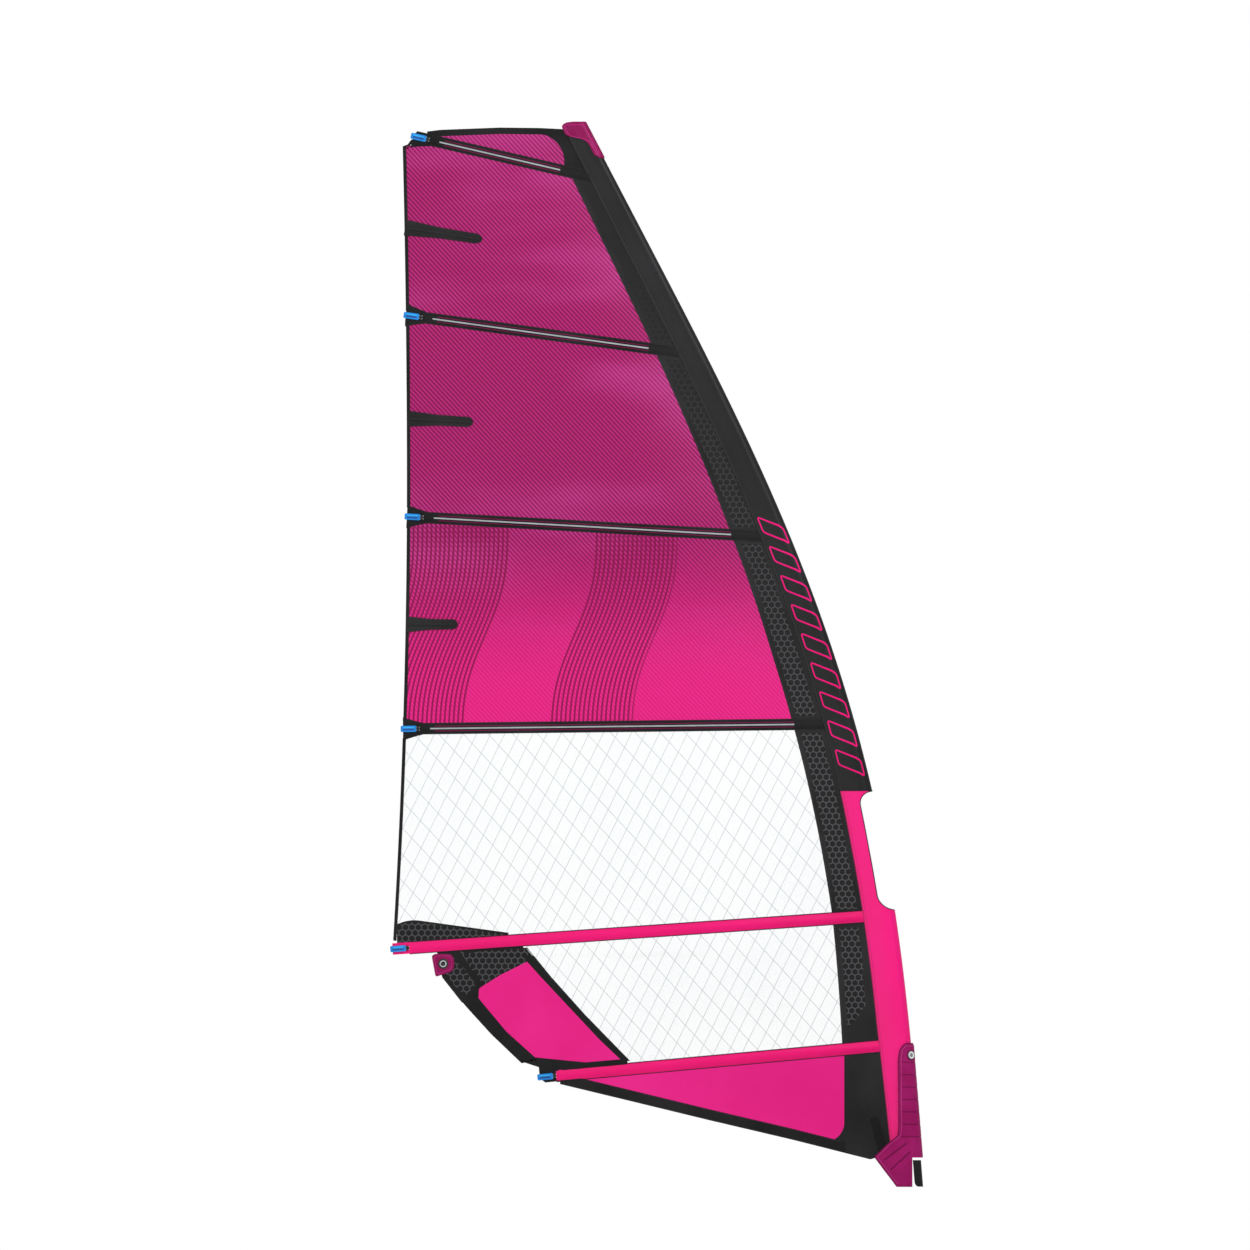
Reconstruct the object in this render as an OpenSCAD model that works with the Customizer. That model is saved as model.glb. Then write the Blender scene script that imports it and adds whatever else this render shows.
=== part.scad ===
// Windsurf sail: film and cloth panels on six full-length battens, with a luff sleeve
// that a mast slides into, batten tensioners, a clew ring, a padded tack and a downhaul pulley.
// X points forward to the luff, Y points to the far side, Z points up the mast.
// The origin is on the mast axis at the foot of the sleeve.

/* [Overall] */
// Height of the head above the tack
head_height = 4450; // [3700:10:5400]
// Reach of the leech behind the mast axis
leech_reach = 2198; // [1830:2:2640]
// Depth of the sail's belly, as a share of the chord, low on the sail
belly_low = 0.05; // [0.02:0.005:0.07]
// Depth of the belly at the head
belly_head = 0.015; // [0.005:0.005:0.03]

/* [Luff] */
// Front of the sleeve ahead of the mast axis at the tack
foot_front = 40; // [38:1:46]
// Lean of the luff at the tack, in degrees
rake_foot = 4.6; // [3:0.1:6]
// Lean of the luff at the head, in degrees
rake_head = 27.6; // [22:0.1:30]
// Radius of the sleeve's round nose, low on the mast
nose_low = 36; // [30:0.5:38]
// Radius of the sleeve's nose at the head
nose_head = 25; // [20:0.5:27]
// Thickness of the sleeve cloth
sleeve_wall = 1.2; // [1:0.1:2]
// Bottom of the boom cut-out
cutout_low = 1047; // [950:1:1150]
// Height of the boom cut-out
cutout_height = 518; // [430:1:620]
// Width of sleeve cloth left behind the cut-out
cutout_strip = 74; // [60:1:80]

/* [Cloth] */
// Thickness of the film and cloth panels
cloth = 1.2; // [1:0.1:1.6]
// Gap left where two pieces are sewn edge to edge
seam_gap = 1; // [0.8:0.1:2]
// Width of the folded tape on the leech
tape_w = 15; // [12:1:20]
// Width of the black band along the foot
foot_band_w = 48; // [40:1:58]
// Width of the black band along the head
head_band_w = 28; // [22:1:34]

/* [Battens] */
// Width of the batten pockets
pocket_w = 50; // [40:1:60]
// Width of the reinforcement where a pocket meets the leech
flare_w = 102; // [80:1:122]
// Thickness of a batten pocket over its batten
pocket_t = 13; // [12:0.5:16]
// Diameter of the battens
batten_d = 9; // [7.5:0.5:10]
// Width of the mini batten pockets at the leech
mini_w = 70; // [58:1:84]

/* [Tensioners] */
// Length of a tensioner cap
cap_l = 68; // [57:1:82]
// Width of a tensioner cap
cap_w = 27; // [23:1:30]
// Thickness of a tensioner cap
cap_t = 17; // [15:0.5:20]
// Length that a cap stands out past the leech
cap_out = 10; // [8:1:14]
// Diameter of the tensioning screw
screw_d = 6; // [5:0.5:7]
// Side of the square plug that the screw drives
plug_w = 11; // [10:0.5:12]
// Travel of the plug
plug_travel = 12; // [8:1:14]

/* [Clew] */
// Bore diameter of the clew ring
clew_bore = 19; // [16:0.5:22]
// Flange diameter of the clew ring
clew_flange = 43; // [38:1:50]

/* [Tack] */
// Thickness of the mast pad
pad_t = 8; // [6:0.5:10]
// Height of the mast pad's top above the tack
pad_top = 466; // [400:1:550]
// Bore diameter of the eyelet in the pad
eyelet_bore = 18; // [14:0.5:20]
// Diameter of the pulley sheaves
sheave_d = 36; // [30:1:40]
// Diameter of the pulley axle
axle_d = 8; // [6:0.5:9]
// Width of the pulley webbing
webbing_w = 30; // [24:1:32]

/* [Head] */
// Bore diameter of the socket that takes the mast tip
tip_bore = 24; // [20:0.5:26]
// Depth of that socket
tip_depth = 50; // [42:1:60]

/* [Hidden] */
$fn = 48;
rise = head_height / 4450;
stretch = leech_reach / 2198;
bend_z = 40;
bend_span = 3908 * rise;
seam_lap = 6;
flat_entry = 12;
tail_gap = cloth / 2 + 1;
fit_gap = 0.08;
slide_gap = 0.3;
head_seat = 2;
head_d = screw_d + 5;
head_top = cap_out - 1;
plug_in = cap_out - cap_l + 1;
plug_l = cap_l - cap_out - head_seat - 8 - plug_travel - 1;
collar_l = 13;
collar_t = 15;
collar_in = cap_out - cap_l - collar_l - 0.5;
batten_start = cap_l - cap_out - 0.5;
pocket_start = collar_l - collar_in - 12;
clew_barrel = clew_bore + 9;
plate_t = 2;
plate_off = cloth / 2 + 1 + plate_t / 2;
flare_l = 95;
film_cols = 12;
film_rows = 4;

// Heights of the six battens at the leech and at the sleeve, from the head down
leech_z = [for (z = [4421, 3640, 2762, 1836, 876, 317]) z * rise];
luff_z = [for (z = [4244, 3478, 2676, 1857, 1018, 453]) z * rise];
// Heights of the three mini battens at the leech, and where their inner ends lie
mini_z = [for (z = [4022, 3189, 2292]) z * rise];
mini_len = [326, 278, 218];
mini_drop = [50, 15, 0];

// Leech and foot as [height, distance behind the mast axis]
edge_table = [[-44, 166], [44, 514], [131, 885], [218, 1243], [305, 1604], [392, 1713],
    [480, 1809], [567, 1892], [654, 1966], [741, 2036], [757, 2050], [846, 2080], [854, 2240], [876, 2259]];
corner_table = [[4380, 2198], [4404, 2180], [4421, 2171], [4443, 2149]];
// Foot as [distance ahead of the mast axis, height]
foot_table = [[-1604, 305], [-1243, 218], [-885, 131], [-514, 44], [-166, -44], [-140, -6], [0, -6]];
// Top edge of the head as [distance ahead of the mast axis, height]
head_table = [[-2149, 4436], [-2053, 4448], [-1792, 4458], [-1617, 4456], [-1517, 4451], [-1400, 4440]];
sleeve_table = [[-60, 126], [63, 129], [520, 141], [1320, 142], [2769, 127], [3494, 116], [4450, 104]];
strip_table = [[390, 304], [1040, 277], [2140, 271], [2700, 253], [3500, 215], [4450, 176]];
// Rear edge of the lower window as [height, distance behind the mast axis]
clew_seam_table = [[350, 1190], [590, 1424], [755, 1572], [900, 1690]];
// Front and rear edges of the clew panel, from its top corner down
clew_front = [[-1690, 852], [-1600, 752], [-1448, 590], [-1345, 480], [-1248, 388]];
clew_rear = [[-1885, 728], [-1899, 655], [-1774, 508], [-1640, 395], [-1420, 372]];
// Lower edge of the clew patch from front to rear
clew_patch_low = [[-1674, 862], [-1800, 792], [-1893, 738], [-1970, 662], [-2044, 752]];
// Band between the clew panel and the foot, as pairs from its inner to its outer edge
clew_band = [[[-1899, 725], [-1963, 648]], [[-1911, 655], [-1930, 614]],
    [[-1786, 503], [-1830, 504]], [[-1655, 388], [-1706, 388]]];
clew_hole = [-2040, 812];
tack_edge_x = -285 * stretch;

function lerp(a, b, t) = a + (b - a) * t;
function unit(v) = v / norm(v);
function hold(v, low, high) = min(max(v, low), high);

// ---- Outline curves: distance ahead of the mast axis at a height ----
function ramp(u) = pow(hold(u, 0, 1), 3) - pow(hold(u, 0, 1), 4) / 2;
function luff_front(z) = foot_front - tan(rake_foot) * z - (tan(rake_head) - tan(rake_foot))
    * (bend_span * ramp((z - bend_z) / bend_span) + max(z - bend_z - bend_span, 0));
function sleeve_w(z) = lookup(z / rise, sleeve_table);
function seam_x(z) = luff_front(z) - sleeve_w(z);
function strip_x(z) = luff_front(z) - lookup(z / rise, strip_table);
function leech_curve(q) = 2198 + 60 * pow(max(2900 - q, 0) / 1984, 2) + 13 * pow(max(q - 2900, 0) / 1242, 2);
function rear_x(z) = let (q = z / rise) -stretch
    * (q < 876 ? lookup(q, edge_table) : q > 4380 ? lookup(q, corner_table) : leech_curve(q));
function foot_edge(x) = rise * lookup(x / stretch, foot_table);
function head_edge(x) = rise * lookup(x / stretch, head_table);
function clew_seam_x(z) = -stretch * lookup(z / rise, clew_seam_table);

// ---- The sail's belly: near side at -Y ----
function belly(z) = lerp(belly_low, belly_head, hold(z / head_height, 0, 1))
    * pow(hold(z / (700 * rise), 0, 1), 1.5);
function bulge(s) = pow(s, 1.5) * pow(1 - s, 4) / 0.0401;
function sail_y(x, z) = let (w = seam_x(z) - rear_x(z), share = (seam_x(z) - flat_entry - x) / w)
    -belly(z) * w * bulge(hold(share, 0, 1));

// ---- Batten lines ----
function batten_end(i) = [rear_x(leech_z[i]), leech_z[i]];
function batten_front(i) = [seam_x(luff_z[i]), luff_z[i]];
function batten_dir(i) = unit(batten_end(i) - batten_front(i));
function batten_up(i) = let (d = batten_dir(i)) [d.y, -d.x];
function batten_len(i) = norm(batten_end(i) - batten_front(i));
function batten_pt(i, r, v) = batten_end(i) - batten_dir(i) * r + batten_up(i) * v;
// Half width of a pocket at r from the leech; the top and bottom pockets lie too near an edge to flare
function half_w(i, r, side) = pocket_w / 2 + ((i == 0 && side > 0) || (i == 5 && side < 0) ? 0
    : (flare_w - pocket_w) / 2 * pow(hold(1 - r / flare_l, 0, 1), 1.3));
flare_gap = 1.8 * (flare_w - pocket_w) / 52; // the edge of a panel follows a wider flare less closely
function pocket_edge(i, x, side) = let (e = batten_end(i), d = batten_dir(i), r = (e.x - x) / d.x)
    e.y - d.y * r + side * (half_w(i, max(r, 0), side) + seam_gap + (r < flare_l ? flare_gap : 0)) / abs(d.x);
// Where a line parallel to a batten meets the sleeve seam or the leech
function slant(i, m) = let (d = batten_dir(i), n = batten_up(i)) (m * n.y - n.x) / (d.x - m * d.y);
function seam_slope(i) = (seam_x(luff_z[i] + 40) - seam_x(luff_z[i] - 40)) / 80;
function leech_slope(i) = i == 5 ? -1.25 : (rear_x(leech_z[i] - 1) - rear_x(leech_z[i] - 41)) / 40;
function front_r(i, v) = batten_len(i) - 3 - v * slant(i, seam_slope(i));
function leech_r(i, v) = -v * slant(i, leech_slope(i));

// ---- Bays between battens: 0 is the head, 6 is the foot ----
// (7 is the tack, which runs down to the foot's edge)
function bay_top(b, x) = b == 0 ? head_edge(x) - head_band_w - seam_gap : pocket_edge(min(b, 6) - 1, x, -1);
function bay_bottom(b, x) = b == 7 ? foot_edge(x)
    : b == 6 ? foot_edge(x) + foot_band_w + seam_gap : pocket_edge(b, x, 1);
function column(k, z) = k == "sleeve" ? seam_x(z) + seam_lap
    : k == "strip" ? strip_x(z)
    : k == "tape" ? rear_x(z) + tape_w
    : k == "leech" ? rear_x(z)
    : k == "clew" ? clew_seam_x(z)
    : k;
function bay_x(front, rear, c, z) = lerp(column(front, z) - (front == "sleeve" ? 0 : seam_gap / 2),
    column(rear, z) + (rear == "leech" ? 0 : seam_gap / 2), c);
function settle(b, front, rear, c, t, z, n) = let (x = bay_x(front, rear, c, z))
    n == 0 ? [x, z] : settle(b, front, rear, c, t, lerp(bay_top(b, x), bay_bottom(b, x), t), n - 1);
function bay_mid(b) = b == 0 ? leech_z[0] : b >= 6 ? luff_z[5] / 2 : (luff_z[b - 1] + luff_z[b]) / 2;
// Wide panels get closer columns near the leech, where the pockets flare
function spread(i, cols) = cols < 8 ? i / cols : i <= cols - 4 ? 0.92 * i / (cols - 4) : 1 - 0.02 * (cols - i);
function bay_grid(b, front, rear, cols, rows) = [for (j = [0:rows])
    [for (i = [0:cols]) settle(b, front, rear, spread(i, cols), j / rows, bay_mid(b), 6)]];

// ---- A closed slab between two grids of points: rows run down, columns run aft on the near side ----
module slab(outer, inner) {
    rows = len(outer) - 1;
    cols = len(outer[0]) - 1;
    w = cols + 1;
    far = w * (rows + 1);
    points = [for (side = [outer, inner], row = side, p = row) p];
    skins = [for (j = [0:rows - 1], i = [0:cols - 1]) let (a = j * w + i, b = a + 1, d = a + w, c = d + 1)
        each [[a, d, c], [a, c, b], [a + far, c + far, d + far], [a + far, b + far, c + far]]];
    ends = [for (i = [0:cols - 1]) let (a = i, b = i + 1, c = rows * w + i, d = c + 1)
        each [[a, b, b + far], [a, b + far, a + far], [c, d + far, d], [c, c + far, d + far]]];
    sides = [for (j = [0:rows - 1]) let (a = j * w, b = a + w, c = a + cols, d = b + cols)
        each [[a, a + far, b + far], [a, b + far, b], [c, d + far, c + far], [c, d, d + far]]];
    polyhedron(points, concat(skins, ends, sides), convexity = 8);
}

function on_sail(grid, dy) = [for (row = grid) [for (p = row) [p.x, sail_y(p.x, p.y) + dy, p.y]]];

// A piece of cloth that follows the sail, from a grid of [x, z] points
module sailcloth(grid, thick = cloth, dy = 0) {
    slab(on_sail(grid, dy - thick / 2), on_sail(grid, dy + thick / 2));
}

module bay_panel(b, front, rear, cols = film_cols, rows = film_rows, thick = cloth) {
    sailcloth(bay_grid(b, front, rear, cols, rows), thick);
}

// ---- A tube lofted through rings of points, hollow if inner rings are given ----
module loft(rings, cores = []) {
    n = len(rings);
    k = len(rings[0]);
    walls = [for (s = [0:n - 2], i = [0:k - 1]) let (a = s * k + i, b = s * k + (i + 1) % k)
        each [[a, b, b + k], [a, b + k, a + k]]];
    if (len(cores) == 0) {
        caps = [[for (i = [k - 1:-1:0]) i], [for (i = [0:k - 1]) (n - 1) * k + i]];
        polyhedron([for (r = rings, p = r) p], concat(walls, caps), convexity = 4);
    } else {
        o = n * k;
        bore = [for (f = walls) [f[0] + o, f[2] + o, f[1] + o]];
        last = (n - 1) * k;
        rims = [for (i = [0:k - 1]) let (j = (i + 1) % k) each [[i, o + i, o + j], [i, o + j, j],
            [last + i, last + j, o + last + j], [last + i, o + last + j, o + last + i]]];
        polyhedron(concat([for (r = rings, p = r) p], [for (r = cores, p = r) p]),
            concat(walls, bore, rims), convexity = 8);
    }
}

// Section of a pocket as [across, through]: flat wings and a swelling over the batten
function pocket_section(low, high, mid, thick, edge) = [[high, edge / 2], [high, -edge / 2],
    [mid, -thick / 2], [-mid, -thick / 2], [-low, -edge / 2], [-low, edge / 2],
    [-mid, thick / 2], [mid, thick / 2]];
function along_batten(i, r0, section, steps) = [for (s = [0:steps])
    [for (q = section) let (p = batten_pt(i, lerp(r0, front_r(i, q.x), s / steps), q.x))
        [p.x, sail_y(p.x, p.y) + q.y, p.y]]];

module batten(i) {
    side = batten_d / 2;
    section = [for (a = [22.5:45:337.5]) [side * cos(a), side * sin(a)]];
    color("dimgray") loft(along_batten(i, batten_start, section, 12));
}

module pocket(i) {
    steps = 12;
    outer = pocket_section(half_w(i, flare_l, -1), half_w(i, flare_l, 1), 9, pocket_t, cloth);
    side = batten_d / 2 + 1.5;
    core = pocket_section(side, side, side / 2, batten_d + 2, 3);
    color(i < 4 ? [0.1, 0.1, 0.1] : "deeppink")
        loft(along_batten(i, pocket_start, outer, steps), along_batten(i, pocket_start, core, steps));
}

// ---- Batten tensioners, drawn along +X with the leech at X = 0 ----
module at_leech(i) {
    e = batten_end(i);
    d = batten_dir(i);
    translate([e.x, 0, e.y]) rotate([0, atan2(-d.y, d.x), 0]) children();
}

module lengthwise(d, from, to, fn = 48) {
    translate([from, 0, 0]) rotate([0, 90, 0]) cylinder(d = d, h = to - from, $fn = fn);
}

module rounded_bar(l, w, r) {
    translate([-l / 2 + r, -w / 2]) square([l - 2 * r, w]);
    translate([-l / 2, -w / 2 + r]) square([l, w - 2 * r]);
    for (x = [-1, 1], y = [-1, 1]) translate([x * (l / 2 - r), y * (w / 2 - r)]) circle(r);
}

module tensioner_caps() {
    channel = plug_w + 2 * slide_gap;
    color([0, 0.43, 0.75]) for (i = [0:5]) at_leech(i) difference() {
        translate([cap_out - cap_l / 2, cap_t / 2, 0]) rotate([90, 0, 0])
            linear_extrude(cap_t) rounded_bar(cap_l, cap_w, 5);
        translate([cap_out - cap_l - 1, -channel / 2, -channel / 2])
            cube([cap_l - cap_out - head_seat - 6 + 1, channel, channel]);
        lengthwise(screw_d + 2 * fit_gap, -head_seat - 6, cap_out);
        lengthwise(head_d + 2 * fit_gap, -head_seat + 5, cap_out + 1);
    }
}

module tensioner_screw(i) {
    color("silver") at_leech(i) difference() {
        union() {
            lengthwise(screw_d, plug_in + 1, -head_seat + 5 + slide_gap);
            lengthwise(head_d, -head_seat + 5 + slide_gap, head_top);
        }
        lengthwise(5.8, head_top - 4, head_top + 1, 6);
    }
}

module tensioner_plug(i) {
    color("gray") at_leech(i) difference() {
        translate([plug_in, -plug_w / 2, -plug_w / 2]) cube([plug_l, plug_w, plug_w]);
        lengthwise(screw_d + 2 * fit_gap, plug_in - 1, plug_in + plug_l + 1);
    }
}

module tensioner_collars() {
    color([0.12, 0.12, 0.12]) for (i = [0:5]) at_leech(i) difference() {
        translate([collar_in, collar_t / 2, 0]) rotate([90, 0, 0])
            linear_extrude(collar_t) translate([collar_l / 2, 0]) rounded_bar(collar_l, 20, 3);
        lengthwise(batten_d + 3, collar_in - 1, collar_in + collar_l + 1);
    }
}

// Reinforcements above and below each tensioner
module leech_patch(i, side) {
    inner = cap_w / 2 + 1.5;
    grid = [for (j = [0, 1]) [for (k = [0:4]) let (r0 = lerp(pocket_start - seam_gap, 0, k / 4),
        edge = half_w(i, r0, side), v = side * lerp(side > 0 ? edge : inner, side > 0 ? inner : edge, j),
        p = batten_pt(i, max(r0, leech_r(i, v)), v)) p]];
    sailcloth(grid);
}

module leech_patches() {
    color([0.1, 0.1, 0.1]) for (i = [0:5], side = [1, -1]) if (i < 5 || side > 0) leech_patch(i, side);
}

// ---- Mini battens, in pockets sewn on the near side ----
mini_lift = cloth / 2 + 4.3;
function mini_start(k) = [rear_x(mini_z[k]) + 4, mini_z[k]];
function mini_end(k) = [rear_x(mini_z[k]) + mini_len[k] * stretch, mini_z[k] - mini_drop[k] * rise];
function mini_ring(k, s, section) = let (a = mini_start(k), b = mini_end(k), d = unit(b - a),
    n = [-d.y, d.x], c = lerp(a, b, s)) [for (q = section) let (p = c + n * q.x)
        [p.x, sail_y(p.x, p.y) - mini_lift + q.y, p.y]];
function mini_section(w, t, mid) = [[w / 2, 0.5], [w / 2, -0.5], [mid, -t / 2], [-mid, -t / 2],
    [-w / 2, -0.5], [-w / 2, 0.5], [-mid, t / 2], [mid, t / 2]];

module mini_batten_pockets() {
    shape = [[0, 1], [0.5, 0.8], [0.93, 0.68], [0.985, 0.6], [1.05, 0.4]];
    color([0.1, 0.1, 0.1]) for (k = [0:2])
        loft([for (q = shape) mini_ring(k, q.x, mini_section(mini_w * q.y, 7, 9))],
            [for (q = shape) mini_ring(k, q.x, mini_section(16, 4.4, 7.5))]);
}

module mini_battens() {
    color("gainsboro") for (k = [0:2])
        loft([for (s = [0, 0.5, 1]) mini_ring(k, s, mini_section(12, 3, 5))]);
}

// ---- Panels ----
film = [0.65, 0.1, 0.4];
hot_film = [0.85, 0.08, 0.45];
black = [0.1, 0.1, 0.1];
neon = [0.93, 0.02, 0.5];

module head_panel() {
    color(film) bay_panel(0, front_edge_x, -2030 * stretch, 8, 2);
}

module upper_film_panel() {
    color(film) bay_panel(1, "strip", "tape");
}

module middle_film_panel() {
    color(film) bay_panel(2, "strip", "tape");
}

module lower_film_panel() {
    color(hot_film) bay_panel(3, "strip", "tape");
}

module upper_window() {
    color([0.95, 0.95, 0.97, 0.6]) bay_panel(4, "strip", "tape");
}

module lower_window() {
    color([0.95, 0.95, 0.97, 0.6]) bay_panel(5, "strip", "clew");
}

module foot_panel() {
    color(neon) bay_panel(6, tack_edge_x, -1386 * stretch, 10, 3);
}

module tack_panel() {
    color(black) bay_panel(7, "sleeve", tack_edge_x, 4, 4);
}

module luff_panel() {
    color(black) for (b = [1:5]) bay_panel(b, "sleeve", "strip", 3, 4);
}

module leech_tape() {
    color(black) for (b = [1:4]) bay_panel(b, "tape", "leech", 1, 4, 2 * cloth);
}

// The head panel starts this far behind the sleeve seam
front_edge_x = seam_x(luff_z[0]) - 108.7 * stretch;
// The band stops where the first pocket meets the head
band_least = 3;
function band_end(front, rear, n = 12) = let (m = (front + rear) / 2) n == 0 ? front
    : head_edge(m) - pocket_edge(0, m, 1) > band_least ? band_end(m, rear, n - 1) : band_end(front, m, n - 1);

module head_patch() {
    color(black) {
        bay_panel(0, "sleeve", front_edge_x, 2, 3);
        first = seam_x(head_height - 10) + seam_lap;
        last = -2110 * stretch;
        end = head_edge(last) - pocket_edge(0, last, 1) > band_least ? last : band_end(first, last);
        xs = [for (k = [0:8]) lerp(first, end, k / 8)];
        sailcloth([[for (x = xs) [x, head_edge(x)]],
            [for (x = xs) [x, max(head_edge(x) - head_band_w, pocket_edge(0, x, 1))]]]);
    }
}

module foot_band() {
    xs = [for (k = [0:10]) lerp(tack_edge_x - seam_gap, -1530 * stretch, k / 10)];
    color(black) sailcloth([[for (x = xs) [x, min(foot_edge(x) + foot_band_w, pocket_edge(5, x, -1))]],
        [for (x = xs) [x, foot_edge(x)]]]);
}

// ---- Clew ----
function at(p) = [p.x * stretch, p.y * rise];
clew_at = at(clew_hole);

module clew_panel() {
    grid = [for (k = [0:len(clew_front) - 1]) [for (c = [0:3]) at(lerp(clew_front[k], clew_rear[k], c / 3))]];
    color(neon) sailcloth(grid);
}

module clew_patch() {
    top_x = [-1697, -1800, -1900, -1985, -2068];
    color(black) {
        difference() {
            sailcloth([[for (x = top_x) [x * stretch, pocket_edge(4, x * stretch, -1)]],
                [for (p = clew_patch_low) at(p)]]);
            translate([clew_at.x, 20, clew_at.y]) rotate([90, 0, 0]) cylinder(d = clew_barrel + 1, h = 40);
        }
        sailcloth([for (p = clew_front) let (q = at(p))
            [[clew_seam_x(q.y) - 3.5, q.y], [q.x + seam_gap, q.y]]]);
        sailcloth([for (pair = clew_band) [for (p = pair) at(p)]]);
    }
}

module clew_plates() {
    color([0.55, 0.03, 0.32]) for (side = [-1, 1]) translate([clew_at.x, side * plate_off, clew_at.y])
        rotate([90, 0, 0]) linear_extrude(plate_t, center = true) difference() {
            polygon([[-50, 34], [-36, 44], [32, 42], [46, 28], [50, -10], [38, -34], [-28, -56], [-34, -52]]);
            circle(d = clew_barrel + 1);
        }
}

// A stainless eyelet with a flange against each plate
module clew_ring() {
    y1 = plate_off + plate_t / 2 + 0.1;
    y2 = y1 + 2.5;
    color("silver") translate([clew_at.x, 0, clew_at.y]) rotate([90, 0, 0]) rotate_extrude()
        polygon([[clew_bore / 2, -y2 + 1], [clew_bore / 2 + 1, -y2], [clew_flange / 2 - 1, -y2],
            [clew_flange / 2, -y1], [clew_barrel / 2, -y1], [clew_barrel / 2, y1], [clew_flange / 2, y1],
            [clew_flange / 2 - 1, y2], [clew_bore / 2 + 1, y2], [clew_bore / 2, y2 - 1]]);
}

// ---- Luff sleeve ----
// Columns run from the far edge round the nose (-1 to 1) to the near edge
sleeve_columns = [-2, -1.65, -1.3, -1, -2 / 3, -1 / 3, 0, 1 / 3, 2 / 3, 1, 1.3, 1.65, 2];
function nose_r(z) = lookup(z / rise, [[1600, nose_low], [4450, nose_head]]);
function sleeve_pt(z, c, grow) = let (front = luff_front(z) + grow, r = nose_r(z) + grow,
    tail = tail_gap + sleeve_wall + grow, t = abs(c) - 1)
    t <= 0 ? [front - r + r * cos(90 * c), -r * sin(90 * c), z]
        : [lerp(front - r, seam_x(z), t), -sign(c) * (tail + (r - tail) * (1 - pow(min(t, 1), 1.6))), z];
function sleeve_grid(zs, columns, grow) = [for (z = zs) [for (c = columns) sleeve_pt(z, c, grow)]];
function levels(high, low, n) = [for (k = [0:n]) lerp(high, low, k / n)];
module sleeve_cloth(high, low, n, columns) {
    zs = levels(high, low, n);
    slab(sleeve_grid(zs, columns, 0), sleeve_grid(zs, columns, -sleeve_wall));
}

// The sleeve round the mast, cut in short lengths of five strips: the two flanks and three of the nose
sleeve_strips = [[-2, -1.65, -1.3, -1], [-1, -2 / 3, -1 / 3], [-1 / 3, 0, 1 / 3],
    [1 / 3, 2 / 3, 1], [1, 1.3, 1.65, 2]];
strip_gap = 0.003;
module sleeve_tube(high, low, lengths) {
    step = (high - low) / lengths;
    for (k = [0:lengths - 1], strip = sleeve_strips) let (last = len(strip) - 1)
        sleeve_cloth(low + (k + 1) * step - (k == lengths - 1 ? 0 : seam_gap), low + k * step, 2,
            [for (i = [0:last]) strip[i] + (i == 0 ? strip_gap : i == last ? -strip_gap : 0)]);
}

cut_low = cutout_low * rise;
cut_high = cut_low + cutout_height;
sleeve_foot = -20;

module sleeve_lower() {
    color(neon) sleeve_tube(cut_low, sleeve_foot, 3);
}

module sleeve_cutout_sides() {
    z = (cut_low + cut_high) / 2;
    first = 2 - cutout_strip / (sleeve_w(z) - nose_r(z));
    near = [for (k = [0:3]) lerp(first, 2, k / 3)];
    color(neon) {
        sleeve_cloth(cut_high - seam_gap, cut_low + seam_gap, 3, near);
        mirror([0, 1, 0]) sleeve_cloth(cut_high - seam_gap, cut_low + seam_gap, 3, near);
    }
}

module sleeve_upper() {
    color(black) sleeve_tube(head_height - 15, cut_high, 8);
}

// ---- Mast pad ----
pad_in = nose_low + 2.6;
pad_rows = [pad_top, pad_top - 3, pad_top - 10, pad_top - 30, pad_top - 70, 230, 100, 62, 25,
    -30, -36, -60, -100, -135, -161];
pad_rear = [[-161, -62], [-135, -81], [-100, -108], [-60, -138], [-36, -156], [-30, -160], [25, -104],
    [62, -58], [100, -54], [pad_top - 70, -56], [pad_top - 30, -50], [pad_top - 10, -36], [pad_top - 3, -27],
    [pad_top, -14]];
function nose_x(z) = foot_front - nose_low - tan(rake_foot) * z;
quarter = pad_in * PI / 2;
function pad_first(z) = z < -33 ? quarter + nose_x(z) - 6 : 0.4;
function pad_last(z) = quarter + nose_x(z) - lookup(z, pad_rear);
function pad_pt(z, s, grow) = let (r = pad_in + grow, a = 90 * s / quarter)
    s < quarter ? [nose_x(z) + r * cos(a), -r * sin(a), z] : [nose_x(z) - (s - quarter), -r, z];
function pad_grid(grow) = [for (z = pad_rows) let (s0 = pad_first(z), s1 = pad_last(z))
    [for (k = [0:7]) let (bend = max(quarter, s0),
        s = z > pad_top - 15 ? lerp(s0, s1, k / 7)
            : k < 5 ? lerp(s0, bend, k / 5) : lerp(bend, s1, (k - 5) / 2))
        pad_pt(z, s, grow)]];

module pad_half() {
    slab(pad_grid(pad_t), pad_grid(0));
}

module pad_far_side() {
    color([0.5, 0.03, 0.3]) mirror([0, 1, 0]) pad_half();
}

// The eyelet faces forward and to the near side
eyelet_z = pad_top - 56;
module at_eyelet() {
    translate([nose_x(eyelet_z), 0, eyelet_z]) rotate([0, 0, -50]) rotate([0, 90 - rake_foot, 0]) children();
}

module pad_near_flap() {
    color([0.5, 0.03, 0.3]) difference() {
        pad_half();
        at_eyelet() cylinder(d = eyelet_bore + 10.4, h = 80);
    }
}

module pad_eyelet() {
    r = eyelet_bore / 2;
    low = pad_in + 0.5;
    high = pad_in + pad_t;
    color("white") at_eyelet() rotate_extrude() polygon([[r, low], [r + 5, low], [r + 5, high + 0.4],
        [r + 8, high + 0.4], [r + 7, high + 2], [r + 1, high + 2], [r, high + 1]]);
}

// ---- Downhaul pulley ----
pulley_at = [-108, 0, -60];
sheave_w = 9.5;
sheave_pitch = 11.5;
cheek_in = 1.5 * sheave_pitch + 0.3;
cheek_t = 3;
bail_z = 38;
webbing_lean = 15;

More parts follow.
